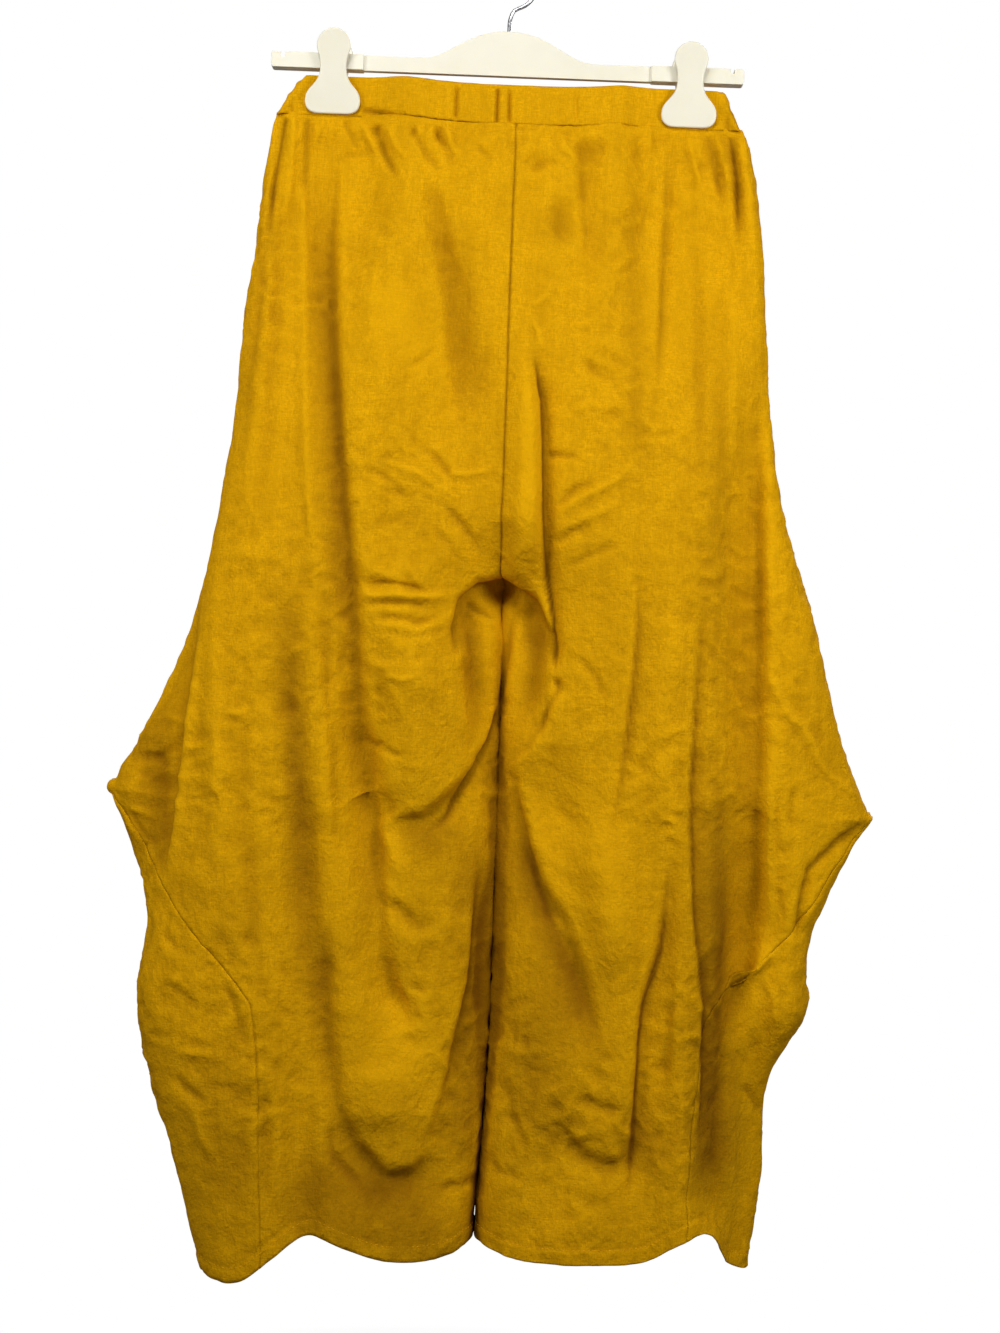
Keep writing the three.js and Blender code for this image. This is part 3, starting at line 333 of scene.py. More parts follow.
# Creases of the back, in the part's own x and z.
BACK_CREASES = [
    (-4.0, 6.0, 5.0, 0.05, 0.4, [(-120, -132), (-118, -220), (-110, -330)]),
    (3.0, 7.0, 6.0, 0.05, 0.4, [(-72, -132), (-78, -230), (-80, -330)]),
    (-3.4, 5.0, 7.0, 0.05, 0.4, [(-30, -134), (-36, -230), (-28, -320)]),
    (-3.6, 6.0, 5.0, 0.05, 0.4, [(44, -134), (50, -240), (44, -330)]),
    (3.2, 6.0, 8.0, 0.05, 0.4, [(92, -132), (96, -230), (104, -330)]),
    (-4.0, 5.0, 7.0, 0.05, 0.4, [(140, -132), (148, -230), (152, -360)]),
    (-5.0, 5.0, 3.0, 0.3, 0.3, [(4, -380), (-8, -430), (-22, -470)]),
    (-5.0, 3.0, 5.0, 0.3, 0.3, [(14, -384), (30, -436), (44, -476)]),
    (3.6, 9.0, 5.0, 0.3, 0.4, [(-84, -500), (-46, -486), (-14, -455)]),
    (-3.0, 5.0, 3.0, 0.4, 0.3, [(-92, -526), (-50, -508), (-16, -474)]),
    (3.6, 9.0, 5.0, 0.3, 0.4, [(34, -458), (66, -486), (104, -496)]),
    (-3.2, 5.0, 3.0, 0.3, 0.4, [(32, -476), (70, -512), (110, -524)]),
    (-4.6, 6.0, 5.0, 0.3, 0.3, [(-10, -540), (-22, -620), (-44, -700)]),
    (-4.4, 5.0, 6.0, 0.3, 0.3, [(26, -540), (40, -620), (60, -710)]),
    (3.4, 8.0, 6.0, 0.3, 0.3, [(-120, -560), (-112, -660), (-92, -740)]),
    (-4.4, 3.0, 13.0, 0.3, 0.3, [(-222, -540), (-234, -640), (-238, -740)]),
    (-4.6, 13.0, 3.0, 0.3, 0.3, [(216, -540), (232, -640), (234, -740)]),
    (-5.5, 14.0, 5.0, 0.3, 0.3, [(-150, -900), (-112, -942), (-72, -946), (-40, -916)]),
    (-5.5, 14.0, 5.0, 0.3, 0.3, [(40, -890), (80, -938), (124, -944), (158, -910)]),
    (-3.6, 6.0, 5.0, 0.3, 0.3, [(-190, -720), (-186, -800), (-176, -880)]),
    (3.4, 8.0, 7.0, 0.3, 0.3, [(98, -640), (92, -740), (96, -840)]),
    (-4.2, 5.0, 7.0, 0.3, 0.3, [(150, -700), (156, -790), (150, -880)]),
    (-4.6, 16.0, 5.0, 0.2, 0.2, [(-150, -300), (-140, -420), (-122, -540), (-104, -660)]),
    (-4.6, 5.0, 16.0, 0.2, 0.2, [(150, -400), (142, -520), (122, -640), (112, -760)]),
    (4.0, 24.0, 24.0, 0.3, 0.3, [(-60, -560), (-66, -680), (-70, -780)]),
    (4.0, 24.0, 24.0, 0.3, 0.3, [(84, -560), (80, -680), (84, -800)]),
]

# Upright creases of the flat front of the waistband, and the soft fold along its lower edge.
BAND_CREASES = [
    (-3.0, 1.3, 1.6, 0.2, 0.2, [(-39, -99), (-39, -128)]),
    (-3.6, 1.3, 1.6, 0.1, 0.1, [(-7, -100), (-7, -130)]),
    (-3.0, 1.3, 1.3, 0.2, 0.2, [(2, -100), (3, -130)]),
    (-1.6, 1.4, 1.4, 0.3, 0.3, [(54, -101), (55, -128)]),
    (-4.0, 3.0, 2.6, 0.1, 0.5, [(-114, -122), (-96, -125), (-74, -128), (-40, -131)]),
]


class ClothSizes(bpy.types.PropertyGroup):
    """Sizes of the cloth and its sewing."""

    wall: bpy.props.FloatProperty(
        name="Cloth", description="Thickness of one layer of cloth", default=0.0009, unit="LENGTH"
    )
    band_wall: bpy.props.FloatProperty(
        name="Waistband", description="Thickness of the elastic waistband", default=0.0018, unit="LENGTH"
    )
    hem_depth: bpy.props.FloatProperty(
        name="Hem", description="Depth of the turned hem", default=0.0115, unit="LENGTH"
    )
    crumple: bpy.props.FloatProperty(
        name="Crumple", description="Height of the fine wrinkles", default=0.0017, unit="LENGTH"
    )
    crease: bpy.props.FloatProperty(
        name="Creases", description="Strength of the creases placed by hand", default=1.12, subtype="FACTOR"
    )
    stitch: bpy.props.FloatProperty(
        name="Stitch", description="Length of one hem stitch", default=0.0026, unit="LENGTH"
    )
    thread: bpy.props.FloatProperty(
        name="Thread", description="Thickness of the sewing thread", default=0.0005, unit="LENGTH"
    )


class HangerSizes(bpy.types.PropertyGroup):
    """Sizes of the hanger's rounded edges and springs."""

    bar_edge: bpy.props.FloatProperty(
        name="Bar edge", description="Rounding of the bar's edges", default=0.0009, unit="LENGTH"
    )
    clip_edge: bpy.props.FloatProperty(
        name="Clip edge", description="Rounding of the clips' edges", default=0.0013, unit="LENGTH"
    )
    sleeve_edge: bpy.props.FloatProperty(
        name="Sleeve edge", description="Rounding of the sleeves' edges", default=0.0004, unit="LENGTH"
    )
    spring_wire: bpy.props.FloatProperty(
        name="Spring wire", description="Thickness of the springs' wire", default=0.0011, unit="LENGTH"
    )
    spring_turns: bpy.props.IntProperty(
        name="Spring turns", description="Turns of each spring", default=6
    )


class Colours(bpy.types.PropertyGroup):
    """Colours of the cloth, the plastic, the wire and the floor."""

    cloth: bpy.props.FloatVectorProperty(
        name="Cloth", description="Main colour of the cloth", default=(0.62, 0.299, 0.0005), subtype="COLOR"
    )
    # Lighter yarns of the cloth, and the colour of the highlight painted on its ridges and swells
    slub_and_ridge_highlight: bpy.props.FloatVectorProperty(
        name="Slubs", description="Lighter yarns of the cloth", default=(0.75, 0.378, 0.0014), subtype="COLOR"
    )
    # The colour painted as shade in the creases and hollows of the cloth
    shade: bpy.props.FloatVectorProperty(
        name="Hollows", description="Cloth in deep creases", default=(0.17, 0.062, 0.0008), subtype="COLOR"
    )
    plastic: bpy.props.FloatVectorProperty(
        name="Plastic", description="Ivory plastic of the hanger", default=(0.80, 0.77, 0.64), subtype="COLOR"
    )
    wire: bpy.props.FloatVectorProperty(
        name="Wire", description="Bright wire of the hook", default=(0.62, 0.62, 0.64), subtype="COLOR"
    )
    floor: bpy.props.FloatVectorProperty(
        name="Floor", description="Pale floor", default=(0.86, 0.86, 0.85), subtype="COLOR"
    )


def smooth(low, high, value):
    """0 below low, 1 above high and a smooth rise between."""
    t = np.clip((value - low) / (high - low), 0, 1)
    return t * t * (3 - 2 * t)


def beside(distance, spread):
    """1 on a line, and less and less away from it."""
    return np.exp(-((distance / spread) ** 2))


def noise(points, size, seed):
    """Smooth noise from -1 to 1 that changes over about size millimetres."""
    lattice = np.random.RandomState(seed).uniform(-1, 1, (40, 40, 40))
    place = points / size
    cell = np.floor(place).astype(int)
    part = place - cell
    part = part * part * (3 - 2 * part)
    total = np.zeros(len(points))
    for corner in range(8):
        step = np.array([corner >> 2 & 1, corner >> 1 & 1, corner & 1])
        at = (cell + step) % 40
        share = np.prod(np.where(step, part, 1 - part), axis=1)
        total += share * lattice[at[:, 0], at[:, 1], at[:, 2]]
    return total


def crumple(points, size, seed):
    """Wrinkles with sharp crests, like those of creased linen, from -1 to 1."""
    wander = np.stack([noise(points, size * 1.4, seed + k) for k in (1, 2, 3)], axis=1)
    tilt = np.array([[0.80, 0.36, 0.48], [-0.60, 0.48, 0.64], [0.0, -0.80, 0.60]])
    place = (points + wander * size * 0.55) @ tilt
    return 1 - 2.6 * np.abs(noise(place, size, seed))


def layered(points, layers):
    """The sum of several layers of noise."""
    total = np.zeros(len(points))
    for rise, size, seed, squeeze in layers:
        total += rise * noise(points * np.array([1, 1, squeeze]), size, seed)
    return total


def crease_heights(x, z, rows):
    """Height of the creases at each point, and the shade painted along the narrow troughs, from 0 to 1."""
    height = np.zeros(len(x))
    painted_shade = np.zeros(len(x))
    for rise, first, second, fade_in, fade_out, points in rows:
        line = np.array(points, float)
        steps = np.hypot(*np.diff(line, axis=0).T)
        starts = np.concatenate([[0], np.cumsum(steps)])
        reach = max(first, second) * 2.6
        low, high = line.min(0) - reach, line.max(0) + reach
        near = np.flatnonzero((x > low[0]) & (x < high[0]) & (z > low[1]) & (z < high[1]))
        nearest, along = np.full(len(near), 1e9), np.zeros(len(near))
        spread = np.full(len(near), first)
        for (a, b), start, step in zip(zip(line[:-1], line[1:]), starts, steps):
            right, up = x[near] - a[0], z[near] - a[1]
            run, climb = b - a
            t = np.clip((right * run + up * climb) / step**2, 0, 1)
            far = np.hypot(right - t * run, up - t * climb)
            better = far < nearest
            nearest = np.where(better, far, nearest)
            along = np.where(better, (start + t * step) / starts[-1], along)
            side = np.where(up * run - right * climb > 0, second, first)
            spread = np.where(better, side, spread)
        faded = smooth(-0.001, fade_in, along) * smooth(-0.001, fade_out, 1 - along)
        height[near] += rise * beside(nearest, spread) * faded
        narrow = min(first, second)
        # Shade is painted along the line of each narrow trough
        if rise < 0 and narrow < 3.3:
            depth = np.clip((-rise - 2) / 5, 0, 0.8) * beside(nearest, 1.7) * faded
            painted_shade[near] = np.maximum(painted_shade[near], depth)
    return height, painted_shade


def short_creases(seed, count, low_x, high_x, top, longest):
    """Short slanting creases under a seam, as rows like those of the tables above."""
    rng = np.random.RandomState(seed)
    rows = []
    for _ in range(count):
        x, z = rng.uniform(low_x, high_x), top - rng.uniform(0, 5)
        lean, length = rng.uniform(-0.7, 0.7), rng.uniform(0.4, 1) * longest
        rise, width = rng.choice([-1, 1]) * rng.uniform(0.8, 1.8), rng.uniform(2.2, 3.4)
        rows.append((rise, width, width, 0.1, 0.6, [(x, z), (x + lean * length, z - length)]))
    return rows


def vertex_places(mesh):
    """The mesh's vertices in millimetres, one row each."""
    flat = np.zeros(len(mesh.vertices) * 3)
    mesh.vertices.foreach_get("co", flat)
    return flat.reshape(-1, 3) / MM


def vertex_normals(mesh):
    """The mesh's vertex normals, one row each."""
    flat = np.zeros(len(mesh.vertices) * 3)
    mesh.vertex_normals.foreach_get("vector", flat)
    return flat.reshape(-1, 3)


def set_places(mesh, places):
    """Moves the mesh's vertices to places in millimetres."""
    mesh.vertices.foreach_set("co", (places * MM).ravel())
    mesh.update()


def linked(name, mesh):
    """A new object of the mesh in the scene."""
    piece = bpy.data.objects.new(name, mesh)
    bpy.context.scene.collection.objects.link(piece)
    return piece


def merged_copy(node):
    """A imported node's shape as a bmesh, with its loose triangles joined."""
    shape = bmesh.new()
    shape.from_mesh(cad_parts[node].data)
    bmesh.ops.remove_doubles(shape, verts=shape.verts, dist=MERGE_REACH * MM)
    return shape


def shaded_softly(shape):
    """Gives every face smooth shading."""
    for face in shape.faces:
        face.smooth = True


def declared(piece, finish, node=None):
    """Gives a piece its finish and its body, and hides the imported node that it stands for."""
    piece.data.materials.append(finish)
    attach(piece, "root")
    if node:
        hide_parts(node)


def outside_of(node, wall, toward):
    """The outside of a packed cloth wall, without its inside and its edges, as a bmesh."""
    skin = merged_copy(node)
    rim = {f for f in skin.faces if any(wall[0] * MM < e.calc_length() < wall[1] * MM for e in f.edges)}
    first = max((f for f in skin.faces if f not in rim), key=lambda f: f.calc_center_median().dot(toward))
    found, open_faces = {first}, [first]
    while open_faces:
        face = open_faces.pop()
        for edge in face.edges:
            for other in edge.link_faces:
                if other not in found and other not in rim:
                    found.add(other)
                    open_faces.append(other)
    reached = {v for f in found for v in f.verts}
    others = [f for f in skin.faces if not all(v in reached for v in f.verts)]
    bmesh.ops.delete(skin, geom=others, context="FACES")
    return skin


def sewn_together(nodes, wall, toward):
    """One mesh of the outsides of several panels, joined at their seams, with a material number for each."""
    whole = bmesh.new()
    for number, node in enumerate(nodes):
        skin = outside_of(node, wall, toward[node])
        for face in skin.faces:
            face.material_index = number
        mesh = bpy.data.meshes.new(node)
        skin.to_mesh(mesh)
        skin.free()
        whole.from_mesh(mesh)
        bpy.data.meshes.remove(mesh)
    edge_points = [v for v in whole.verts if v.is_boundary]
    bmesh.ops.remove_doubles(whole, verts=edge_points, dist=SEAM_REACH * MM)
    near_points = {v for v in whole.verts if abs(v.co.z / MM - POINT_HEIGHT) < 12}
    tips = [e for e in whole.edges if e.is_boundary and all(v in near_points for v in e.verts)]
    if tips:
        bmesh.ops.holes_fill(whole, edges=tips, sides=40)
    bmesh.ops.join_triangles(
        whole,
        faces=[f for f in whole.faces if len(f.verts) == 3],
        cmp_materials=True,
        angle_face_threshold=math.pi,
        angle_shape_threshold=math.pi,
    )
    return whole


def as_mesh(name, shape):
    """Turns a bmesh into a mesh and frees it."""
    mesh = bpy.data.meshes.new(name)
    shape.to_mesh(mesh)
    shape.free()
    return mesh


def subdivided(mesh, levels, keep_points):
    """A finer, smooth copy of the mesh. With keep_points it still runs through the points it had."""
    piece = linked("cage", mesh)
    modifier = piece.modifiers.new("smooth", "SUBSURF")
    modifier.levels = modifier.render_levels = 1 if keep_points else levels
    modifier.boundary_smooth = "PRESERVE_CORNERS"
    if keep_points:
        wanted = vertex_places(mesh)
        for _ in range(3):
            reached = evaluated_copy(piece)
            missed = wanted - vertex_places(reached)[: len(wanted)]
            set_places(mesh, vertex_places(mesh) + missed)
            bpy.data.meshes.remove(reached)
        modifier.levels = modifier.render_levels = levels
    finer = evaluated_copy(piece)
    bpy.data.objects.remove(piece)
    return finer


def evaluated_copy(piece):
    """A mesh of the piece with its modifiers applied."""
    bpy.context.view_layer.update()
    graph = bpy.context.evaluated_depsgraph_get()
    return bpy.data.meshes.new_from_object(piece.evaluated_get(graph))


def split_long_rows(mesh):
    """Cuts the rows of cells that are much taller than the others."""
    shape = bmesh.new()
    shape.from_mesh(mesh)
    seen, cut = set(), []
    for first in shape.edges:
        if first in seen:
            continue
        seen.add(first)
        row, waiting = [first], [first]
        while waiting:
            edge = waiting.pop()
            for face in edge.link_faces:
                if len(face.verts) != 4:
                    continue
                across = next(e for e in face.edges if not set(e.verts) & set(edge.verts))
                if across not in seen:
                    seen.add(across)
                    row.append(across)
                    waiting.append(across)
        if sum(e.calc_length() for e in row) / len(row) > LONG_CELL * MM:
            cut += row
    bmesh.ops.subdivide_edges(shape, edges=cut, cuts=1, use_grid_fill=True)
    return as_mesh("finer", shape)


def distances(places, targets):
    """How far each place is from the nearest of the targets."""
    tree = KDTree(len(targets))
    for number, target in enumerate(targets):
        tree.insert(target, number)
    tree.balance()
    return np.array([tree.find(place)[2] for place in places])


def seam_and_edge_points(mesh):
    """Vertex numbers on seams between panels, and on the mesh's open edges."""
    shape = bmesh.new()
    shape.from_mesh(mesh)
    seam = [v.index for v in shape.verts if len({f.material_index for f in v.link_faces}) > 1]
    edge = [v.index for v in shape.verts if v.is_boundary]
    shape.free()
    return seam, edge


def seen_from_camera(places):
    """x and z of each place as the camera sees it on the plane through the hanger."""
    stage = bpy.context.scene.trousers_stage
    eye = np.array(stage.camera_place) / MM
    depth = -eye[1] / (places[:, 1] - eye[1])
    return eye[0] + (places[:, 0] - eye[0]) * depth, eye[2] + (places[:, 2] - eye[2]) * depth


def blurred(mesh, values, rounds):
    """The values spread over the mesh to their neighbours."""
    flat = np.zeros(len(mesh.edges) * 2, int)
    mesh.edges.foreach_get("vertices", flat)
    one, other = flat.reshape(-1, 2).T
    count = len(values)
    shares = np.bincount(flat, minlength=count)
    for _ in range(rounds):
        total = np.bincount(one, values[other], count) + np.bincount(other, values[one], count)
        values = 0.4 * values + 0.6 * total / shares
    return values


def above_waist_seam(z):
    """0 below the waist seam, 1 above it and a short rise between."""
    return smooth(WAIST_SEAM - 1.5, WAIST_SEAM + 1.5, z)


def placed_creases(places, normals, strength):
    """Height of the creases, on the front and on the back, with the shade painted along their narrow troughs
    and the broad shade and highlight painted on the front.
    """
    front = smooth(0.15, 0.55, -normals[:, 1])
    back = smooth(0.15, 0.55, normals[:, 1])
    seen_x, seen_z = seen_from_camera(places)
    front_rows = FRONT_CREASES + short_creases(*FRONT_SHORT)
    back_rows = BACK_CREASES + short_creases(*BACK_SHORT)
    front_height, front_painted_shade = crease_heights(seen_x, seen_z, front_rows)
    back_height, back_painted_shade = crease_heights(places[:, 0], places[:, 2], back_rows)
    height = (front_height * front + back_height * back) * strength
    painted_shade = front_painted_shade * front + back_painted_shade * back
    shade = crease_heights(seen_x, seen_z, FRONT_SHADE)[0] * front
    return height, painted_shade, shade


def linen_relief(places, normals, fine):
    """Low swells of hanging cloth, fine wrinkles and the gathers at the sides and the back."""
    worn = 0.4 + 0.6 * smooth(-0.2, 0.4, noise(places, 80, 13))
    wrinkles = sum(rise * crumple(places, size, seed) for rise, size, seed in WRINKLES)
    at_sides = smooth(*SIDES_START, np.abs(places[:, 0] - WAIST_MIDDLE))
    gathered = np.maximum(smooth(0.0, 0.5, normals[:, 1]), at_sides)
    fall = smooth(*GATHER_FALL, places[:, 2])
    height = layered(places, SWELLS) + fine * worn * wrinkles
    return height + gathered * fall * layered(places, SIDE_GATHERS)


def seam_relief(places, seam):
    """A fine groove at the centre seam, a faint ridge with puckers round the side panels, and shade painted
    along the centre seam.
    """
    to_seam = distances(places, places[seam])
    centre = smooth(*CENTRE_REACH, np.abs(places[:, 0] - CENTRE_SEAM)) * smooth(*CENTRE_END, places[:, 2])
    height = 0.5 * noise(places, 5, 51) * beside(to_seam, 6)
    height += 0.4 * (1 - centre) * beside(to_seam - 2.5, 2.4)
    height -= (0.1 + 0.7 * centre) * beside(to_seam, 1.5)
    return height, 0.35 * centre * beside(to_seam, 1.1)


def hem_relief(places, edge, depth):
    """Height of the turned hems and of the puckers along them."""
    low = places[:, 2] < HEM_ZONE
    hem_points = [i for i in edge if low[i]]
    to_hem = np.full(len(places), 1e3)
    to_hem[low] = distances(places[low], places[hem_points])
    height = 0.5 * smooth(depth + 1, depth - 1, to_hem) - 0.6 * beside(to_hem - depth, 1.4)
    return height + 0.7 * noise(places, 7, 52) * beside(to_hem, 9)


def held_at_waist(height, places, normals):
    """The clips hold the cloth flat, and the waist seam keeps its place."""
    free = np.ones(len(places))
    under_clip = smooth(CLIP_FOOT, CLIP_FOOT + 11, places[:, 2])
    for clip_x in CLIP_X.values():
        free *= 1 - (1 - smooth(*PANEL_FREE, np.abs(places[:, 0] - clip_x))) * under_clip
    inset = SEAM_DEPTH * above_waist_seam(places[:, 2]) * smooth(0.2, 0.6, np.abs(normals[:, 1]))
    return height * (0.4 + 0.6 * free) - inset


def kept_apart(height, places, normals):
    """Troughs that stop short of the plane between the front and the back."""
    facing = np.maximum(np.abs(normals[:, 1]), 0.25)
    room = np.maximum(np.abs(places[:, 1]) - CLEARANCE, LEAST_ROOM) / facing
    pressed = height / (1 + (np.abs(height) / room) ** 4) ** 0.25
    return np.where(height < 0, pressed, height)


def cloth_relief(mesh, sizes):
    """Height of the creases, wrinkles, seams and hems over the garment, and the shade and highlight painted
    on it.
    """
    places, normals = vertex_places(mesh), vertex_normals(mesh)
    seam, edge = seam_and_edge_points(mesh)
    height, painted_shade, shade = placed_creases(places, normals, sizes.crease)
    seam_height, seam_painted_shade = seam_relief(places, seam)
    height += linen_relief(places, normals, sizes.crumple / MM)
    height += seam_height + hem_relief(places, edge, sizes.hem_depth / MM)

    # The legs lie closer together under the crotch, and shade is painted on the cloth that faces across the
    # gap between them
    z, sideways = places[:, 2], np.abs(normals[:, 0])
    near_gap = smooth(*GAP_REACH, np.abs(places[:, 0] - LEG_GAP))
    height += 1.3 * smooth(0.5, 0.9, sideways) * near_gap * smooth(*GAP_TOP, z) * smooth(*GAP_END, z)
    between = 0.8 * smooth(0.8, 0.97, sideways) * near_gap * smooth(*GAP_SHADE, z)

    height = kept_apart(held_at_waist(height, places, normals), places, normals)
    # Shade is painted into every hollow of the relief, and highlight onto its ridges
    cavity_shade = sum(share * (blurred(mesh, height, rounds) - height) for share, rounds in CAVITY_SHADE)
    painted_shade = np.maximum(np.maximum(painted_shade, seam_painted_shade), between) + np.clip(cavity_shade, -0.4, 0.4)
    return height, np.clip(painted_shade + shade, -0.5, 1)


def band_relief(mesh, places, normals):
    """Height of the waistband's swell, pleats and creases, and the shade painted along its creases and in the
    troughs of its pleats.
    """
    x, z = places[:, 0], places[:, 2]
    _, edge = seam_and_edge_points(mesh)
    from_top = distances(places, places[[i for i in edge if z[i] > BAND_MIDDLE]])
    from_bottom = distances(places, places[[i for i in edge if z[i] <= BAND_MIDDLE]])
    level = from_bottom / (from_top + from_bottom)
    puff = 0.7 * (1 - (2 * level - 1) ** 4) - 0.5 * beside(from_top, 1.4)
    left, right = CLIP_X.values()
    beyond = np.maximum(smooth(*BEYOND_CLIP, left - x), smooth(*BEYOND_CLIP, x - right))
    gathered = np.maximum(smooth(0.0, 0.5, normals[:, 1]), beyond)
    pleats = layered(places, BAND_PLEATS)
    settled = 0.3 + 0.7 * smooth(0, 5, from_bottom)
    lines, painted_shade = crease_heights(*seen_from_camera(places), BAND_CREASES)
    front = smooth(0.2, 0.6, -normals[:, 1])
    height = puff + gathered * pleats * settled + layered(places, BAND_SOFTNESS) + lines * front

    # The clips press the band flat
    free = smooth(*BAND_FREE, np.minimum(np.abs(x - left), np.abs(x - right)))
    height = np.minimum(height, height * free + 0.2 * (1 - free))
    pleat_shade = gathered * 0.5 * smooth(0.2, 0.9, -pleats / 1.6) * free
    return height, np.maximum(painted_shade * front, pleat_shade)


def rounded_points(places):
    """Gathers the cloth at the two side points into a small knob."""
    for tip, inward, radius in KNOBS:
        centre = np.array(tip) + inward
        away = places - centre
        far = np.linalg.norm(away, axis=1)
        share = smooth(2.6 * radius, 1.3 * radius, far)[:, None]
        ball = centre + away / np.maximum(far, 1e-6)[:, None] * radius
        places = places * (1 - share) + ball * share
    return places


def put_painted_shade(mesh, painted_shade):
    """Stores the shade painted at each point, with the highlight below 0, for the material."""
    layer = mesh.attributes.new("painted_shade", "FLOAT", "POINT")
    layer.data.foreach_set("value", painted_shade.astype(np.float32))


def hem_line(shape):
    """The points of a panel's hem, in the order in which they follow each other."""
    low = [e for e in shape.edges if e.is_boundary and all(v.co.z < HEM_ZONE * MM for v in e.verts)]
    hem = {e for e in low if abs(e.verts[0].co.z - e.verts[1].co.z) < 0.7 * e.calc_length()}
    ends = [v for e in hem for v in e.verts if sum(other in hem for other in v.link_edges) == 1]
    longest = []
    for end in ends:
        line, used = [end], set()
        while True:
            onward = [e for e in line[-1].link_edges if e in hem and e not in used]
            if not onward:
                break
            used.add(onward[0])
            line.append(onward[0].other_vert(line[-1]))
        longest = max(longest, line, key=len)
    return [v.co.copy() for v in longest]


def hem_stitches(piece, name, sizes, finish):
    """A row of short stitches that holds the turned hem of a panel, as one piece."""
    skin = bmesh.new()
    skin.from_mesh(piece.data)
    surface = BVHTree.FromBMesh(skin)
    line = [point + Vector((0, 0, sizes.hem_depth)) for point in hem_line(skin)]
    skin.free()
    shape = bmesh.new()
    walked = 0.0
    for start, end in zip(line[:-1], line[1:]):
        along = end - start
        while walked < along.length:
            point, normal, _, _ = surface.find_nearest(start + along.normalized() * walked)
            across = along.cross(normal).normalized()
            axes = Matrix((across, normal, across.cross(normal))).transposed().to_4x4()
            size = Matrix.Diagonal((sizes.thread, sizes.thread, sizes.stitch, 1))
            place = Matrix.Translation(point + normal * STITCH_LIFT * sizes.thread) @ axes @ size
            bmesh.ops.create_uvsphere(shape, u_segments=5, v_segments=4, radius=0.5, matrix=place)
            walked += sizes.stitch * STITCH_PITCH
        walked -= along.length
    bmesh.ops.recalc_face_normals(shape, faces=shape.faces)
    shaded_softly(shape)
    row = linked(name, as_mesh(name, shape))
    declared(row, finish)
    return row


def split_panels(mesh, nodes, wall, finish):
    sizes = bpy.context.scene.trousers_cloth
    for number, node in enumerate(nodes):
        shape = bmesh.new()
        shape.from_mesh(mesh)
        others = [f for f in shape.faces if f.material_index != number]
        bmesh.ops.delete(shape, geom=others, context="FACES")
        for face in shape.faces:
            face.material_index = 0
        shaded_softly(shape)
        piece = linked("cloth_" + node, as_mesh("cloth_" + node, shape))
        thick = piece.modifiers.new("cloth", "SOLIDIFY")
        thick.thickness = wall
        thick.offset = -1
        declared(piece, finish, node)
        sewn_on = []
        if node in PANELS:
            sewn_on = [hem_stitches(piece, "stitches_" + node, sizes, finish_named("thread", sewing_thread))]


def new_material(name, base, roughness):
    """A material with its shader, its node tree and the object coordinates."""
    made = bpy.data.materials.new(name)
    made.use_nodes = True
    tree = made.node_tree
    shader = tree.nodes["Principled BSDF"]
    shader.inputs["Base Color"].default_value = (*base, 1)
    shader.inputs["Roughness"].default_value = roughness
    place = tree.nodes.new("ShaderNodeTexCoord").outputs["Object"]
    return made, tree, shader, place


def noise_node(tree, place, stretch, detail, roughness=0.55):
    """Noise that changes over 1 / stretch metres along each axis."""
    mapping = tree.nodes.new("ShaderNodeMapping")
    mapping.inputs["Scale"].default_value = stretch
    tree.links.new(place, mapping.inputs["Vector"])
    made = tree.nodes.new("ShaderNodeTexNoise")
    made.inputs["Scale"].default_value = 1
    made.inputs["Detail"].default_value = detail
    made.inputs["Roughness"].default_value = roughness
    tree.links.new(mapping.outputs["Vector"], made.inputs["Vector"])
    return made.outputs["Fac"]


def ranged(tree, value, low, high, to_low, to_high):
    """The value taken from one range to another."""
    made = tree.nodes.new("ShaderNodeMapRange")
    for name, number in (("From Min", low), ("From Max", high), ("To Min", to_low), ("To Max", to_high)):
        made.inputs[name].default_value = number
    tree.links.new(value, made.inputs["Value"])
    return made.outputs["Result"]


def mixed(tree, share, a, b):
    """Two colours mixed by a share, which is an output. Each is a colour or an output."""
    made = tree.nodes.new("ShaderNodeMix")
    made.data_type = "RGBA"
    tree.links.new(share, made.inputs[0])
    for socket, value in ((made.inputs[6], a), (made.inputs[7], b)):
        if isinstance(value, bpy.types.NodeSocket):
            tree.links.new(value, socket)
        else:
            socket.default_value = (*value, 1)
    return made.outputs[2]


def tinted(tree, colour, other, value, low, high, most):
    """The colour with more of the other as the value goes from low to high, up to the share most."""
    return mixed(tree, ranged(tree, value, low, high, 0.0, most), colour, other)


def computed(tree, operation, a, b):
    """The result of a math operation on two values."""
    made = tree.nodes.new("ShaderNodeMath")
    made.operation = operation
    for socket, value in ((made.inputs[0], a), (made.inputs[1], b)):
        if isinstance(value, bpy.types.NodeSocket):
            tree.links.new(value, socket)
        else:
            socket.default_value = value
    return made.outputs[0]


def bumped(tree, shader, height, distance, strength):
    """Gives the shader's surface a fine relief."""
    made = tree.nodes.new("ShaderNodeBump")
    made.inputs["Distance"].default_value = distance
    made.inputs["Strength"].default_value = strength
    tree.links.new(height, made.inputs["Height"])
    tree.links.new(made.outputs["Normal"], shader.inputs["Normal"])


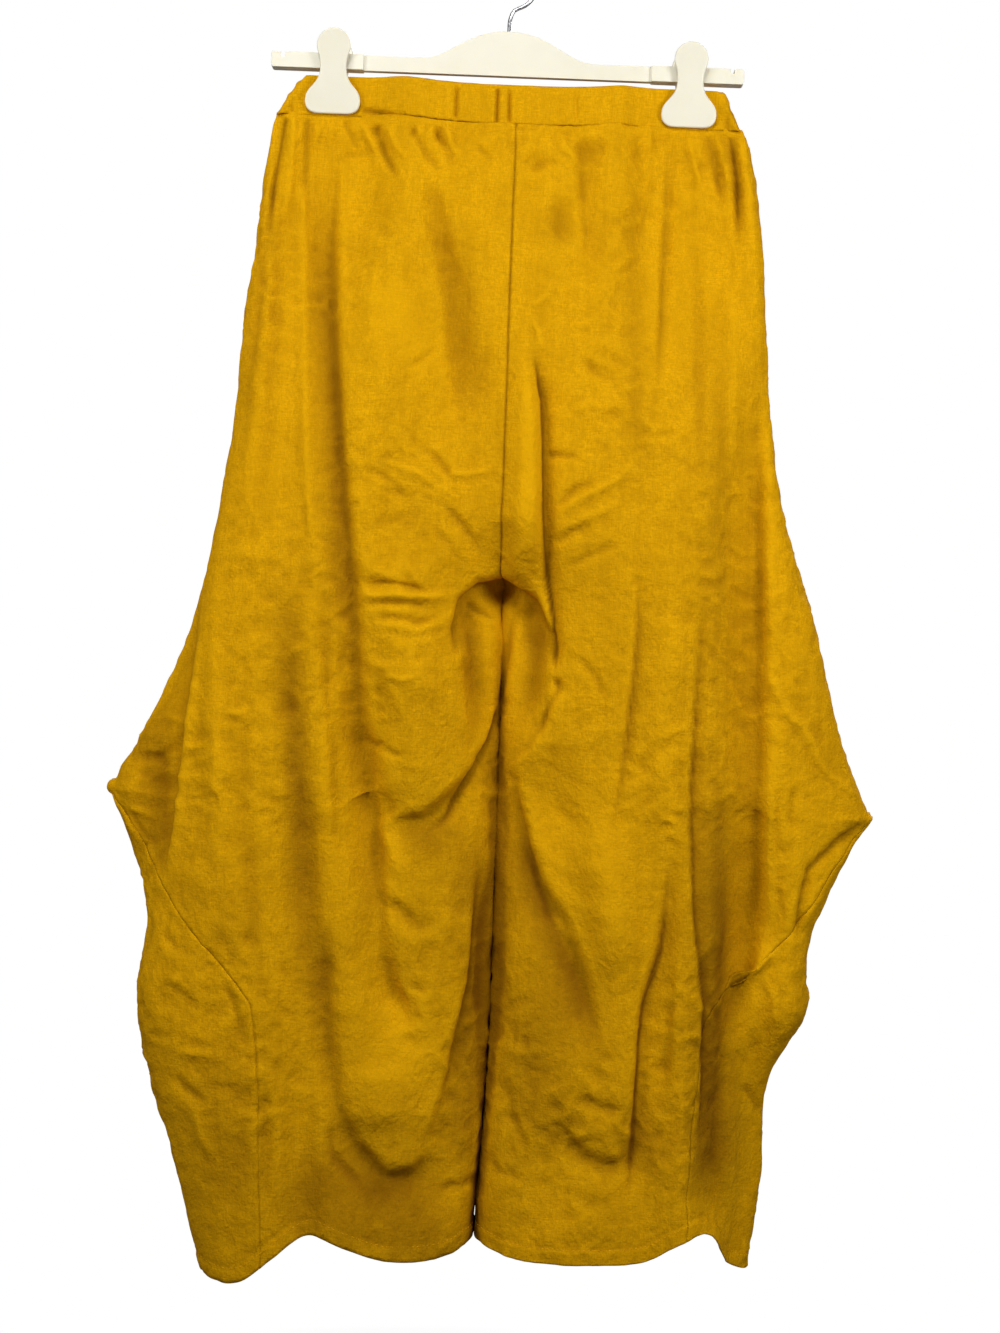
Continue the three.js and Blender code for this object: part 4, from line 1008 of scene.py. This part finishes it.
def linen(colours):
    """Mustard linen-look cloth: upright and level yarns of uneven thickness, slubs, and shade and highlight
    painted on its creases and ridges.
    """
    made, tree, shader, place = new_material("linen", colours.cloth, 0.92)
    warp = noise_node(tree, place, (1500, 1500, 130), 2)
    weft = noise_node(tree, place, (150, 150, 1500), 2)
    yarn = computed(tree, "ADD", warp, weft)
    slubs = noise_node(tree, place, (320, 320, 20), 2)
    flecks = noise_node(tree, place, (520, 520, 520), 3)
    clouds = noise_node(tree, place, (24, 24, 11), 5, 0.68)
    streaks = noise_node(tree, place, (150, 150, 9), 3)
    # The attribute holds the shade painted in creases, hollows, the centre seam and the gap between the legs,
    # and below 0 the highlight painted on ridges and swells
    painted_shade = tree.nodes.new("ShaderNodeAttribute")
    painted_shade.attribute_name = "painted_shade"
    depth = painted_shade.outputs["Fac"]
    dark = tuple(c * 0.80 for c in colours.cloth)
    colour = tinted(tree, tuple(c * 0.88 for c in colours.cloth), colours.slub_and_ridge_highlight, yarn, 0.75, 1.25, 1.0)
    colour = tinted(tree, colour, colours.slub_and_ridge_highlight, slubs, 0.52, 0.74, 0.30)
    colour = tinted(tree, colour, dark, flecks, 0.48, 0.70, 0.6)
    colour = tinted(tree, colour, dark, clouds, 0.40, 0.64, 0.40)
    colour = tinted(tree, colour, dark, streaks, 0.45, 0.68, 0.40)
    # Painted highlight where the attribute is below 0, then painted shade where it is above 0
    colour = tinted(tree, colour, colours.slub_and_ridge_highlight, depth, 0.0, -0.4, 0.6)
    colour = tinted(tree, colour, colours.shade, depth, 0.0, 1.0, 0.95)
    tree.links.new(colour, shader.inputs["Base Color"])
    tree.links.new(ranged(tree, yarn, 0.7, 1.3, 0.98, 0.86), shader.inputs["Roughness"])
    shader.inputs["Specular IOR Level"].default_value = 0.05
    crinkles = noise_node(tree, place, (110, 110, 80), 3, 0.6)
    crinkles = computed(tree, "ABSOLUTE", computed(tree, "SUBTRACT", crinkles, 0.5), 0)
    relief = computed(tree, "ADD", yarn, computed(tree, "MULTIPLY", flecks, 0.8))
    relief = computed(tree, "SUBTRACT", relief, computed(tree, "MULTIPLY", crinkles, 14.0))
    bumped(tree, shader, relief, 0.0004, 0.5)
    return made


def sewing_thread(colours):
    """Twisted thread a little paler than the cloth."""
    made, tree, shader, place = new_material("thread", colours.slub_and_ridge_highlight, 0.7)
    twist = noise_node(tree, place, (1800, 1800, 1800), 2)
    colour = tinted(tree, colours.slub_and_ridge_highlight, colours.cloth, twist, 0.35, 0.65, 0.7)
    tree.links.new(colour, shader.inputs["Base Color"])
    shader.inputs["Specular IOR Level"].default_value = 0.2
    bumped(tree, shader, twist, 0.0001, 0.3)
    return made


def ivory_plastic(colours):
    """Smooth moulded plastic, a little uneven in gloss."""
    made, tree, shader, place = new_material("ivory_plastic", colours.plastic, 0.34)
    clouds = noise_node(tree, place, (40, 40, 40), 3)
    worn = noise_node(tree, place, (260, 90, 260), 4)
    colour = tinted(tree, colours.plastic, (0.74, 0.70, 0.55), clouds, 0.35, 0.7, 0.35)
    tree.links.new(colour, shader.inputs["Base Color"])
    tree.links.new(ranged(tree, worn, 0.3, 0.7, 0.28, 0.44), shader.inputs["Roughness"])
    shader.inputs["Subsurface Weight"].default_value = 0.6
    shader.inputs["Subsurface Radius"].default_value = (0.006, 0.0055, 0.0042)
    bumped(tree, shader, worn, 0.0002, 0.15)
    return made


def bright_wire(colours):
    """Drawn wire with fine marks along it."""
    made, tree, shader, place = new_material("bright_wire", colours.wire, 0.25)
    drawn = noise_node(tree, place, (900, 900, 120), 3)
    colour = tinted(tree, colours.wire, (0.40, 0.40, 0.42), drawn, 0.35, 0.7, 0.6)
    tree.links.new(colour, shader.inputs["Base Color"])
    tree.links.new(ranged(tree, drawn, 0.3, 0.7, 0.18, 0.38), shader.inputs["Roughness"])
    shader.inputs["Metallic"].default_value = 1
    bumped(tree, shader, drawn, 0.0001, 0.2)
    return made


def finish_named(name, maker):
    """The material of that name, made the first time that it is asked for."""
    return bpy.data.materials.get(name) or maker(bpy.context.scene.trousers_colours)


class TROUSERS_OT_legs(bpy.types.Operator):
    """Make the six leg panels from the waist seam to the hems"""

    bl_idname = "trousers.legs"
    bl_label = "Leg panels"

    def execute(self, context):
        sizes = context.scene.trousers_cloth
        toward = {}
        for side, outward in (("left", -1), ("right", 1)):
            toward[f"front_panel_{side}"] = Vector((0, -1, 0))
            toward[f"back_panel_{side}"] = Vector((0, 1, 0))
            toward[f"side_panel_{side}"] = Vector((outward, 0, 0))
        whole = as_mesh("garment", sewn_together(PANELS, PANEL_WALL, toward))
        mesh = split_long_rows(subdivided(whole, 1, True))
        mesh = subdivided(mesh, 2, False)
        height, painted_shade = cloth_relief(mesh, sizes)
        places = vertex_places(mesh) + vertex_normals(mesh) * height[:, None]
        places[:, 2] += SEAM_TUCK * above_waist_seam(places[:, 2])
        set_places(mesh, rounded_points(places))
        put_painted_shade(mesh, painted_shade)
        split_panels(mesh, PANELS, sizes.wall, finish_named("linen", linen))
        return {"FINISHED"}


class TROUSERS_OT_waistband(bpy.types.Operator):
    """Make the gathered elastic waistband"""

    bl_idname = "trousers.waistband"
    bl_label = "Waistband"

    def execute(self, context):
        sizes = context.scene.trousers_cloth
        toward = {"waistband_front": Vector((0, -1, 0)), "waistband_back": Vector((0, 1, 0))}
        whole = as_mesh("band", sewn_together(BANDS, BAND_WALL, toward))
        mesh = subdivided(whole, 3, True)
        places, normals = vertex_places(mesh), vertex_normals(mesh)
        height, painted_shade = band_relief(mesh, places, normals)
        set_places(mesh, places + normals * height[:, None])
        put_painted_shade(mesh, painted_shade)
        split_panels(mesh, BANDS, sizes.band_wall, finish_named("linen", linen))
        return {"FINISHED"}


def rounded_copy(node, name, edge, segments):
    """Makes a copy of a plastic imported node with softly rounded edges, which replaces it."""
    shape = merged_copy(node)
    bmesh.ops.dissolve_limit(
        shape, angle_limit=FLAT_ANGLE, use_dissolve_boundaries=False, verts=shape.verts, edges=shape.edges
    )
    sharp = [e for e in shape.edges if e.is_manifold and e.calc_face_angle() > SHARP_ANGLE]
    bmesh.ops.bevel(
        shape,
        geom=sharp,
        offset=edge,
        affect="EDGES",
        segments=segments,
        profile=0.5,
        material=-1,
        clamp_overlap=True,
    )
    shaded_softly(shape)
    piece = linked(name, as_mesh(name, shape))
    even = piece.modifiers.new("shading", "WEIGHTED_NORMAL")
    even.keep_sharp = False
    declared(piece, finish_named("ivory_plastic", ivory_plastic), node)


class TROUSERS_OT_hanger(bpy.types.Operator):
    """Make the hanger's bar and its wire hook"""

    bl_idname = "trousers.hanger"
    bl_label = "Hanger"

    def execute(self, context):
        sizes = context.scene.trousers_hanger
        rounded_copy("hanger_bar", "bar_rounded", sizes.bar_edge, 3)
        shape = merged_copy("hanger_hook")
        shaded_softly(shape)
        hook = linked("hook_wire", as_mesh("hook_wire", shape))
        declared(hook, finish_named("bright_wire", bright_wire), "hanger_hook")
        return {"FINISHED"}


class TROUSERS_OT_clips(bpy.types.Operator):
    """Make the clips with their sleeves and springs"""

    bl_idname = "trousers.clips"
    bl_label = "Clips"

    def execute(self, context):
        sizes = context.scene.trousers_hanger
        for side in SIDES:
            for part in ("clip_front", "clip_back"):
                rounded_copy(f"{part}_{side}", f"{part}_rounded_{side}", sizes.clip_edge, 4)
            rounded_copy(f"clip_saddle_{side}", f"clip_sleeve_{side}", sizes.sleeve_edge, 2)
            self.spring(side, sizes)
        return {"FINISHED"}

    def spring(self, side, sizes):
        """A coil of wire between the plates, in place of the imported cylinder."""
        low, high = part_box(f"clip_spring_{side}")
        centre = (low + high) / 2
        radius = (high.x - low.x) / 2 - sizes.spring_wire / 2
        shape = bmesh.new()
        ring = bmesh.ops.create_circle(shape, segments=WIRE_SIDES, radius=sizes.spring_wire / 2)
        start = Vector((centre.x + radius, low.y + sizes.spring_wire, centre.z))
        bmesh.ops.translate(shape, verts=ring["verts"], vec=start)
        length = high.y - low.y - 2 * sizes.spring_wire
        steps = STEPS_PER_TURN * sizes.spring_turns
        bmesh.ops.spin(
            shape,
            geom=shape.verts[:] + shape.edges[:],
            cent=centre,
            axis=(0, 1, 0),
            dvec=(0, length / steps, 0),
            angle=2 * math.pi * sizes.spring_turns,
            steps=steps,
            use_merge=False,
        )
        bmesh.ops.holes_fill(shape, edges=[e for e in shape.edges if e.is_boundary], sides=WIRE_SIDES)
        bmesh.ops.recalc_face_normals(shape, faces=shape.faces)
        shaded_softly(shape)
        piece = linked(f"spring_coil_{side}", as_mesh(f"spring_coil_{side}", shape))
        declared(piece, finish_named("bright_wire", bright_wire), f"clip_spring_{side}")


class StageSizes(bpy.types.PropertyGroup):
    """Place of the camera, the lights and the floor."""

    camera_place: bpy.props.FloatVectorProperty(
        name="Camera",
        description="Where the camera stands",
        default=(0.01227, -1.444, -0.5514),
        unit="LENGTH",
    )
    camera_roll: bpy.props.FloatProperty(
        name="Roll", description="Tilt of the camera", default=math.radians(-2.25), unit="ROTATION"
    )
    lens: bpy.props.FloatProperty(
        name="Lens", description="Focal length in millimetres", default=50.0
    )
    floor_height: bpy.props.FloatProperty(
        name="Floor", description="Height of the floor below the hook", default=-1.32, unit="LENGTH"
    )
    key_power: bpy.props.FloatProperty(
        name="Key light", description="Power of the main light in watts", default=14.0
    )
    fill_power: bpy.props.FloatProperty(
        name="Fill light", description="Power of the weaker lights in watts", default=5.0
    )
    sky: bpy.props.FloatProperty(
        name="Surroundings", description="Light that the white surroundings give", default=0.14
    )
    backdrop: bpy.props.FloatProperty(
        name="Backdrop", description="Brightness of the surroundings as they are seen", default=1.0
    )


class TROUSERS_OT_stage(bpy.types.Operator):
    """Make the pale floor, the soft light and the camera"""

    bl_idname = "trousers.stage"
    bl_label = "Stage"

    def execute(self, context):
        stage = context.scene.trousers_stage
        self.floor(stage, context.scene.trousers_colours)
        self.lights(stage, context.scene)
        self.camera(stage, context.scene)
        return {"FINISHED"}

    def floor(self, stage, colours):
        """A wide pale disc that fades into the surroundings."""
        shape = bmesh.new()
        bmesh.ops.create_circle(shape, cap_ends=True, segments=96, radius=FLOOR_RADIUS)
        bmesh.ops.translate(shape, verts=shape.verts, vec=(0, 0, stage.floor_height))
        floor = linked("floor", as_mesh("floor", shape))
        made, tree, shader, place = new_material("pale_floor", colours.floor, 0.8)
        path = tree.nodes.new("ShaderNodeLightPath")
        length = tree.nodes.new("ShaderNodeVectorMath")
        length.operation = "LENGTH"
        tree.links.new(place, length.inputs[0])
        speckle = noise_node(tree, place, (30, 30, 30), 3)
        colour = tinted(tree, colours.floor, (0.82, 0.82, 0.81), speckle, 0.3, 0.7, 0.4)
        colour = mixed(tree, path.outputs["Is Camera Ray"], (0.25, 0.25, 0.25), colour)
        tree.links.new(colour, shader.inputs["Base Color"])
        glow = tree.nodes.new("ShaderNodeEmission")
        glow.inputs["Color"].default_value = (1, 1, 1, 1)
        glow.inputs["Strength"].default_value = stage.backdrop
        far = ranged(tree, length.outputs["Value"], *FLOOR_FADE, 0.0, 1.0)
        seen = computed(tree, "MULTIPLY", far, path.outputs["Is Camera Ray"])
        blend = tree.nodes.new("ShaderNodeMixShader")
        tree.links.new(seen, blend.inputs["Fac"])
        tree.links.new(shader.outputs["BSDF"], blend.inputs[1])
        tree.links.new(glow.outputs["Emission"], blend.inputs[2])
        tree.links.new(blend.outputs["Shader"], tree.nodes["Material Output"].inputs["Surface"])
        floor.data.materials.append(made)

    def lights(self, stage, scene):
        """White surroundings, a light high in front, one close beside each leg and a strong one behind."""
        world = bpy.data.worlds.new("studio")
        world.use_nodes = True
        tree = world.node_tree
        background = tree.nodes["Background"]
        background.inputs["Color"].default_value = (1, 1, 1, 1)
        path = tree.nodes.new("ShaderNodeLightPath")
        seen = ranged(tree, path.outputs["Is Camera Ray"], 0.0, 1.0, stage.sky, stage.backdrop)
        tree.links.new(seen, background.inputs["Strength"])
        scene.world = world
        scene.view_settings.view_transform = "Standard"
        places = (
            ("key", stage.key_power, 0.5, Vector((-0.25, -1.35, 0.85))),
            ("left", stage.fill_power, 0.4, Vector((-0.75, -0.75, -0.12))),
            ("right", stage.fill_power * 1.3, 0.4, Vector((0.75, -0.75, -0.12))),
            ("back", stage.fill_power * 7.0, 1.0, Vector((0.6, 1.7, 0.9))),
        )
        for name, power, size, place in places:
            light = bpy.data.lights.new(name, "AREA")
            light.energy = power
            light.shape = "DISK"
            light.size = size
            lamp = linked(name, light)
            lamp.location = place
            lamp.rotation_euler = (LIGHT_AIM - place).to_track_quat("-Z", "Y").to_euler()

    def camera(self, stage, scene):
        """The camera of the photograph, square on to the front and tilted as the photograph is."""
        lens = bpy.data.cameras.new("camera")
        lens.lens = stage.lens
        lens.sensor_width = 36
        lens.sensor_fit = "AUTO"
        camera = linked("camera", lens)
        camera.location = stage.camera_place
        camera.rotation_euler = (math.radians(90), stage.camera_roll, 0)
        scene.camera = camera


class TROUSERS_PT_panel(bpy.types.Panel):
    """Lists the steps that make the trousers"""

    bl_label = "Trousers"
    bl_idname = "TROUSERS_PT_panel"
    bl_space_type = "VIEW_3D"
    bl_region_type = "UI"
    bl_category = "Trousers"

    def draw(self, context):
        for step in STEPS:
            self.layout.operator(step.bl_idname)


STEPS = (
    TROUSERS_OT_stage,
    TROUSERS_OT_legs,
    TROUSERS_OT_waistband,
    TROUSERS_OT_hanger,
    TROUSERS_OT_clips,
)
GROUPS = (
    ("trousers_cloth", ClothSizes),
    ("trousers_hanger", HangerSizes),
    ("trousers_colours", Colours),
    ("trousers_stage", StageSizes),
)


def register():
    """Registers the property groups, the operators and the panel."""
    for name, group in GROUPS:
        bpy.utils.register_class(group)
        setattr(bpy.types.Scene, name, bpy.props.PointerProperty(type=group))
    for step in STEPS:
        bpy.utils.register_class(step)
    bpy.utils.register_class(TROUSERS_PT_panel)


def unregister():
    """Takes them out again."""
    bpy.utils.unregister_class(TROUSERS_PT_panel)
    for step in reversed(STEPS):
        bpy.utils.unregister_class(step)
    for name, group in reversed(GROUPS):
        delattr(bpy.types.Scene, name)
        bpy.utils.unregister_class(group)


def main():
    register()
    bpy.ops.trousers.stage()
    bpy.ops.trousers.legs()
    bpy.ops.trousers.waistband()
    bpy.ops.trousers.hanger()
    bpy.ops.trousers.clips()


if __name__ == "__main__":
    main()
